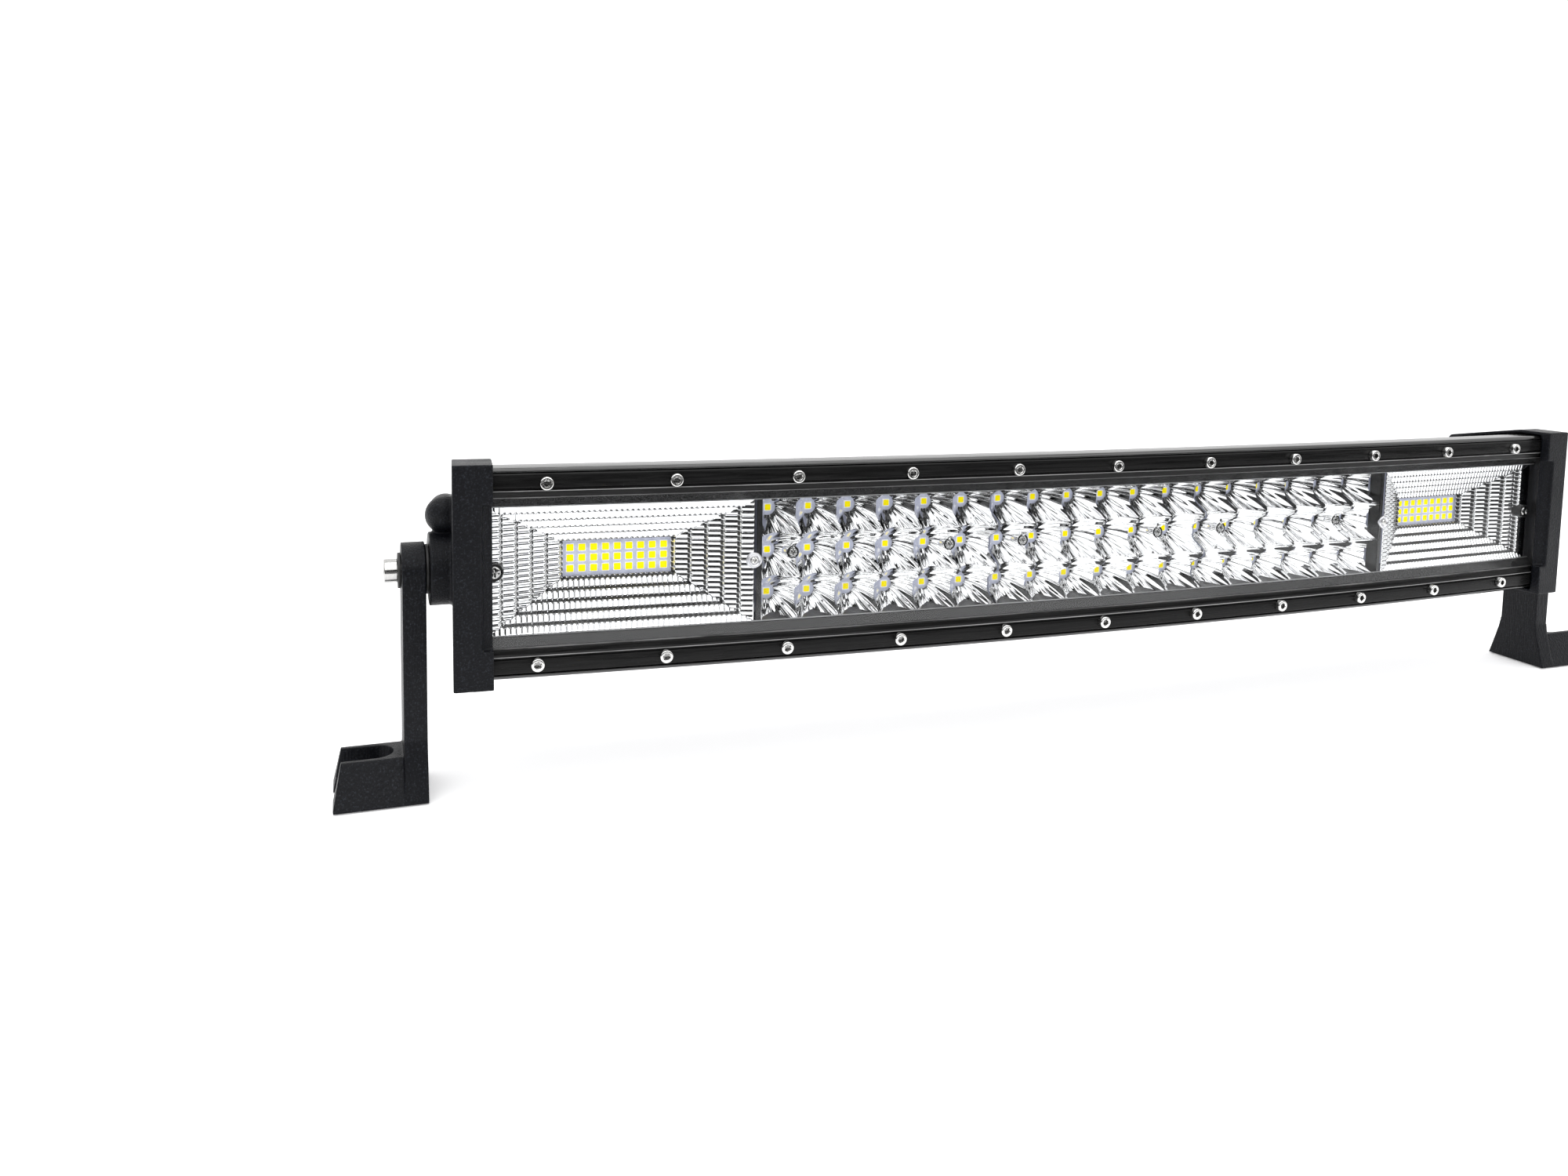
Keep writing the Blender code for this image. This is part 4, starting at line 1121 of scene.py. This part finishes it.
def build_cap(side):
    body = at_end(plate(both_halves(CAP_UPPER), CAP_OUTER, CAP_INNER), side)
    pocket = plate(both_halves(POCKET_UPPER), CAP_POCKET, CAP_INNER + OVERCUT)
    cove = bmesh.new()
    rod(cove, COVE_RADIUS, (CAP_INNER, CAP_FRONT, -COVE_HALF), (CAP_INNER, CAP_FRONT, COVE_HALF))
    holes = bmesh.new()
    for spot in CAP_SCREWS:
        rod(holes, CAP_SCREW_SINK_RADIUS, (CAP_OUTER - OVERCUT, *spot),
            (CAP_OUTER + CAP_SCREW_SINK, *spot), 40)
    steps = [
        ("DIFFERENCE", at_end(pocket, side)),
        ("DIFFERENCE", at_end(cove, side)),
        ("UNION", hinge_rod(side, BOSS_RADIUS, BOSS_START, BOSS_FACE)),
    ]
    if side == "left":
        steps.append(("UNION", cable_hood()))
        rod(holes, GLAND_BORE, (HOOD_X, HOOD_BACK - GLAND_BORE_DEPTH, GLAND_Z),
            (HOOD_X, HOOD_BACK + OVERCUT, GLAND_Z), 32)
    steps.append(("DIFFERENCE", at_end(holes, side)))
    steps.append(("DIFFERENCE", hinge_rod(side, BORE_RADIUS, BORE_START, BORE_END)))
    cap = cast_piece(f"{side}_cap_casting", body, steps, CAP_VOXEL, "casting")
    declare(cap, "lamp", "casting", f"{side}_end_cap")


def arm_outline():
    """Arm seen along the hinge, from its flared foot round the eye, about the hinge axis."""
    points = [(-half, height - PIVOT_Z) for half, height in ARM_FLARE]
    arc = []
    for step in range(ARM_STEPS + 1):
        angle = math.pi * (1 - step / ARM_STEPS)
        arc.append((ARM_RADIUS * math.cos(angle), ARM_RADIUS * math.sin(angle)))
    return points + arc + [(-y, z) for y, z in reversed(points)]


def foot_block():
    """Foot about the hinge axis, whose outer face leans in towards its top."""
    top = FOOT_TOP - PIVOT_Z
    section = [(-FOOT_HALF, -PIVOT_Z), (-FOOT_TOP_HALF, top), (FOOT_TOP_HALF, top),
               (FOOT_HALF, -PIVOT_Z)]
    bm = plate(section, -ARM_FAR + FOOT_LAP, -FOOT_OUTER)
    for vert in bm.verts:
        if vert.co.x < -FOOT_TOP_OUTER and vert.co.z > -PIVOT_Z + 1:
            vert.co.x = -FOOT_TOP_OUTER
    return bm


def build_bracket(side):
    sign = 1 if side == "left" else -1
    place = Matrix.Translation(PIVOT) @ Matrix.Diagonal((sign, 1, 1, 1))
    steps = [("UNION", moved(foot_block(), place))]
    for radius, end, low, high in FOOT_CUTS:
        hole = bmesh.new()
        rod(hole, radius, (-end, 0, low - PIVOT_Z), (-end, 0, high - PIVOT_Z))
        slab = bmesh.new()
        box(slab, (-FOOT_OUTER - OVERCUT, -radius, low - PIVOT_Z), (-end, radius, high - PIVOT_Z))
        steps += [("DIFFERENCE", moved(hole, place)), ("DIFFERENCE", moved(slab, place))]
    bore = hinge_rod(side, BORE_RADIUS, ARM_NEAR - OVERCUT, ARM_FAR + OVERCUT)
    steps.append(("DIFFERENCE", bore))
    body = moved(plate(arm_outline(), -ARM_NEAR, -ARM_FAR), place)
    bracket = cast_piece(f"{side}_bracket_casting", body, steps, BRACKET_VOXEL, "bracket")
    declare(bracket, f"{side}_foot_bracket", "casting", f"{side}_bracket")


# ---------------------------------------------------------------- small fittings

def build_gland():
    place = (END_FRAME @ Matrix.Translation((HOOD_X, HOOD_BACK + GLAND_GAP, GLAND_Z))
             @ Matrix.Rotation(math.radians(-90), 4, "X"))
    for name, section in (("gland_body", fillet(GLAND_BODY, 0.3, 2)),
                          ("gland_nut", fillet(GLAND_NUT, 0.5, 3))):
        piece = from_bmesh(name + "_shell", turned(section, closed=True), "gland", 35, place)
        declare(piece, "lamp", "gland", name)


def build_breather():
    place = FLIP @ face_left(BREATHER_SPOT, CAP_OUTER)
    piece = from_bmesh("breather_cap", turned(BREATHER_PROFILE), "gland", 30, place)
    declare(piece, "lamp", "gland", "breather")


def dress_kept_nodes():
    """CAD nodes that show as they are take a procedural finish."""
    for node in ("left_cap_seal", "right_cap_seal"):
        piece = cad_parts[node]
        piece.data.materials.clear()
        piece.data.materials.append(LOOKS["seal"])


# ---------------------------------------------------------------- studio

def add_area(name, size, place, power):
    light = bpy.data.lights.new(name, "AREA")
    light.shape = "RECTANGLE"
    light.size, light.size_y = size
    light.energy = power
    obj = bpy.data.objects.new(name, light)
    obj.location = place
    aim = Vector(LIGHT_TARGET) - Vector(place)
    obj.rotation_euler = aim.to_track_quat("-Z", "Y").to_euler()
    bpy.context.scene.collection.objects.link(obj)


def stage_block(name, low, high, look):
    bm = bmesh.new()
    box(bm, low, high)
    block = from_bmesh(name, bm, None, None)
    block.data.materials.append(look)
    return block


def plain_stage(name, color, rough, shine):
    """Nearly even finish for the floor and the cards; shine is a white glow of their own."""
    material = new_material(name)
    grain = noise(material, 30, 3)
    tone = blend(material, grain, tuple(c * 0.985 for c in color), color)
    return surface(material, tone, Roughness=rough, Emission_Strength=shine)


def build_studio():
    world = bpy.data.worlds.new("studio")
    bpy.context.scene.world = world
    world.use_nodes = True
    backdrop = world.node_tree.nodes["Background"]
    backdrop.inputs["Color"].default_value = (1.0, 1.0, 1.0, 1)
    backdrop.inputs["Strength"].default_value = WORLD_STRENGTH
    pale = plain_stage("pale_floor", (0.93, 0.93, 0.94), 0.8, FLOOR_GLOW)
    floor = stage_block("floor", (-6000, -6000, -20), (6000, 6000, -0.5), pale)
    for name, low, high, level in CARDS:
        look = plain_stage(name, (0.004, 0.004, 0.004), 1.0, level)
        card = stage_block(name, low, high, look)
        card.visible_camera = False
        card.visible_diffuse = False
        card.visible_shadow = False
        card.visible_transmission = False
    for name, size, place, power in LIGHTS:
        add_area(name, size, place, power)


def build_camera():
    camera = bpy.data.cameras.new("camera")
    camera.sensor_width = 36.0
    camera.lens = CAMERA_LENS
    camera.shift_x, camera.shift_y = CAMERA_SHIFT
    camera.clip_start = 0.01
    obj = bpy.data.objects.new("camera", camera)
    turn = (Matrix.Rotation(CAMERA_YAW, 4, "Z") @ Matrix.Rotation(CAMERA_PITCH, 4, "X")
            @ Matrix.Rotation(CAMERA_ROLL, 4, "Y") @ Matrix.Rotation(math.radians(90), 4, "X"))
    obj.matrix_world = Matrix.Translation(CAMERA_PLACE) @ turn
    bpy.context.scene.collection.objects.link(obj)
    bpy.context.scene.camera = obj
    bpy.context.scene.view_settings.view_transform = "Standard"


build_camera()
build_studio()
build_housing()
build_trims()
build_lens()
build_modules()
build_seams()
build_fixings()
build_screws()
build_pivots()
for end in ("left", "right"):
    build_cap(end)
    build_bracket(end)
build_gland()
build_breather()
dress_kept_nodes()
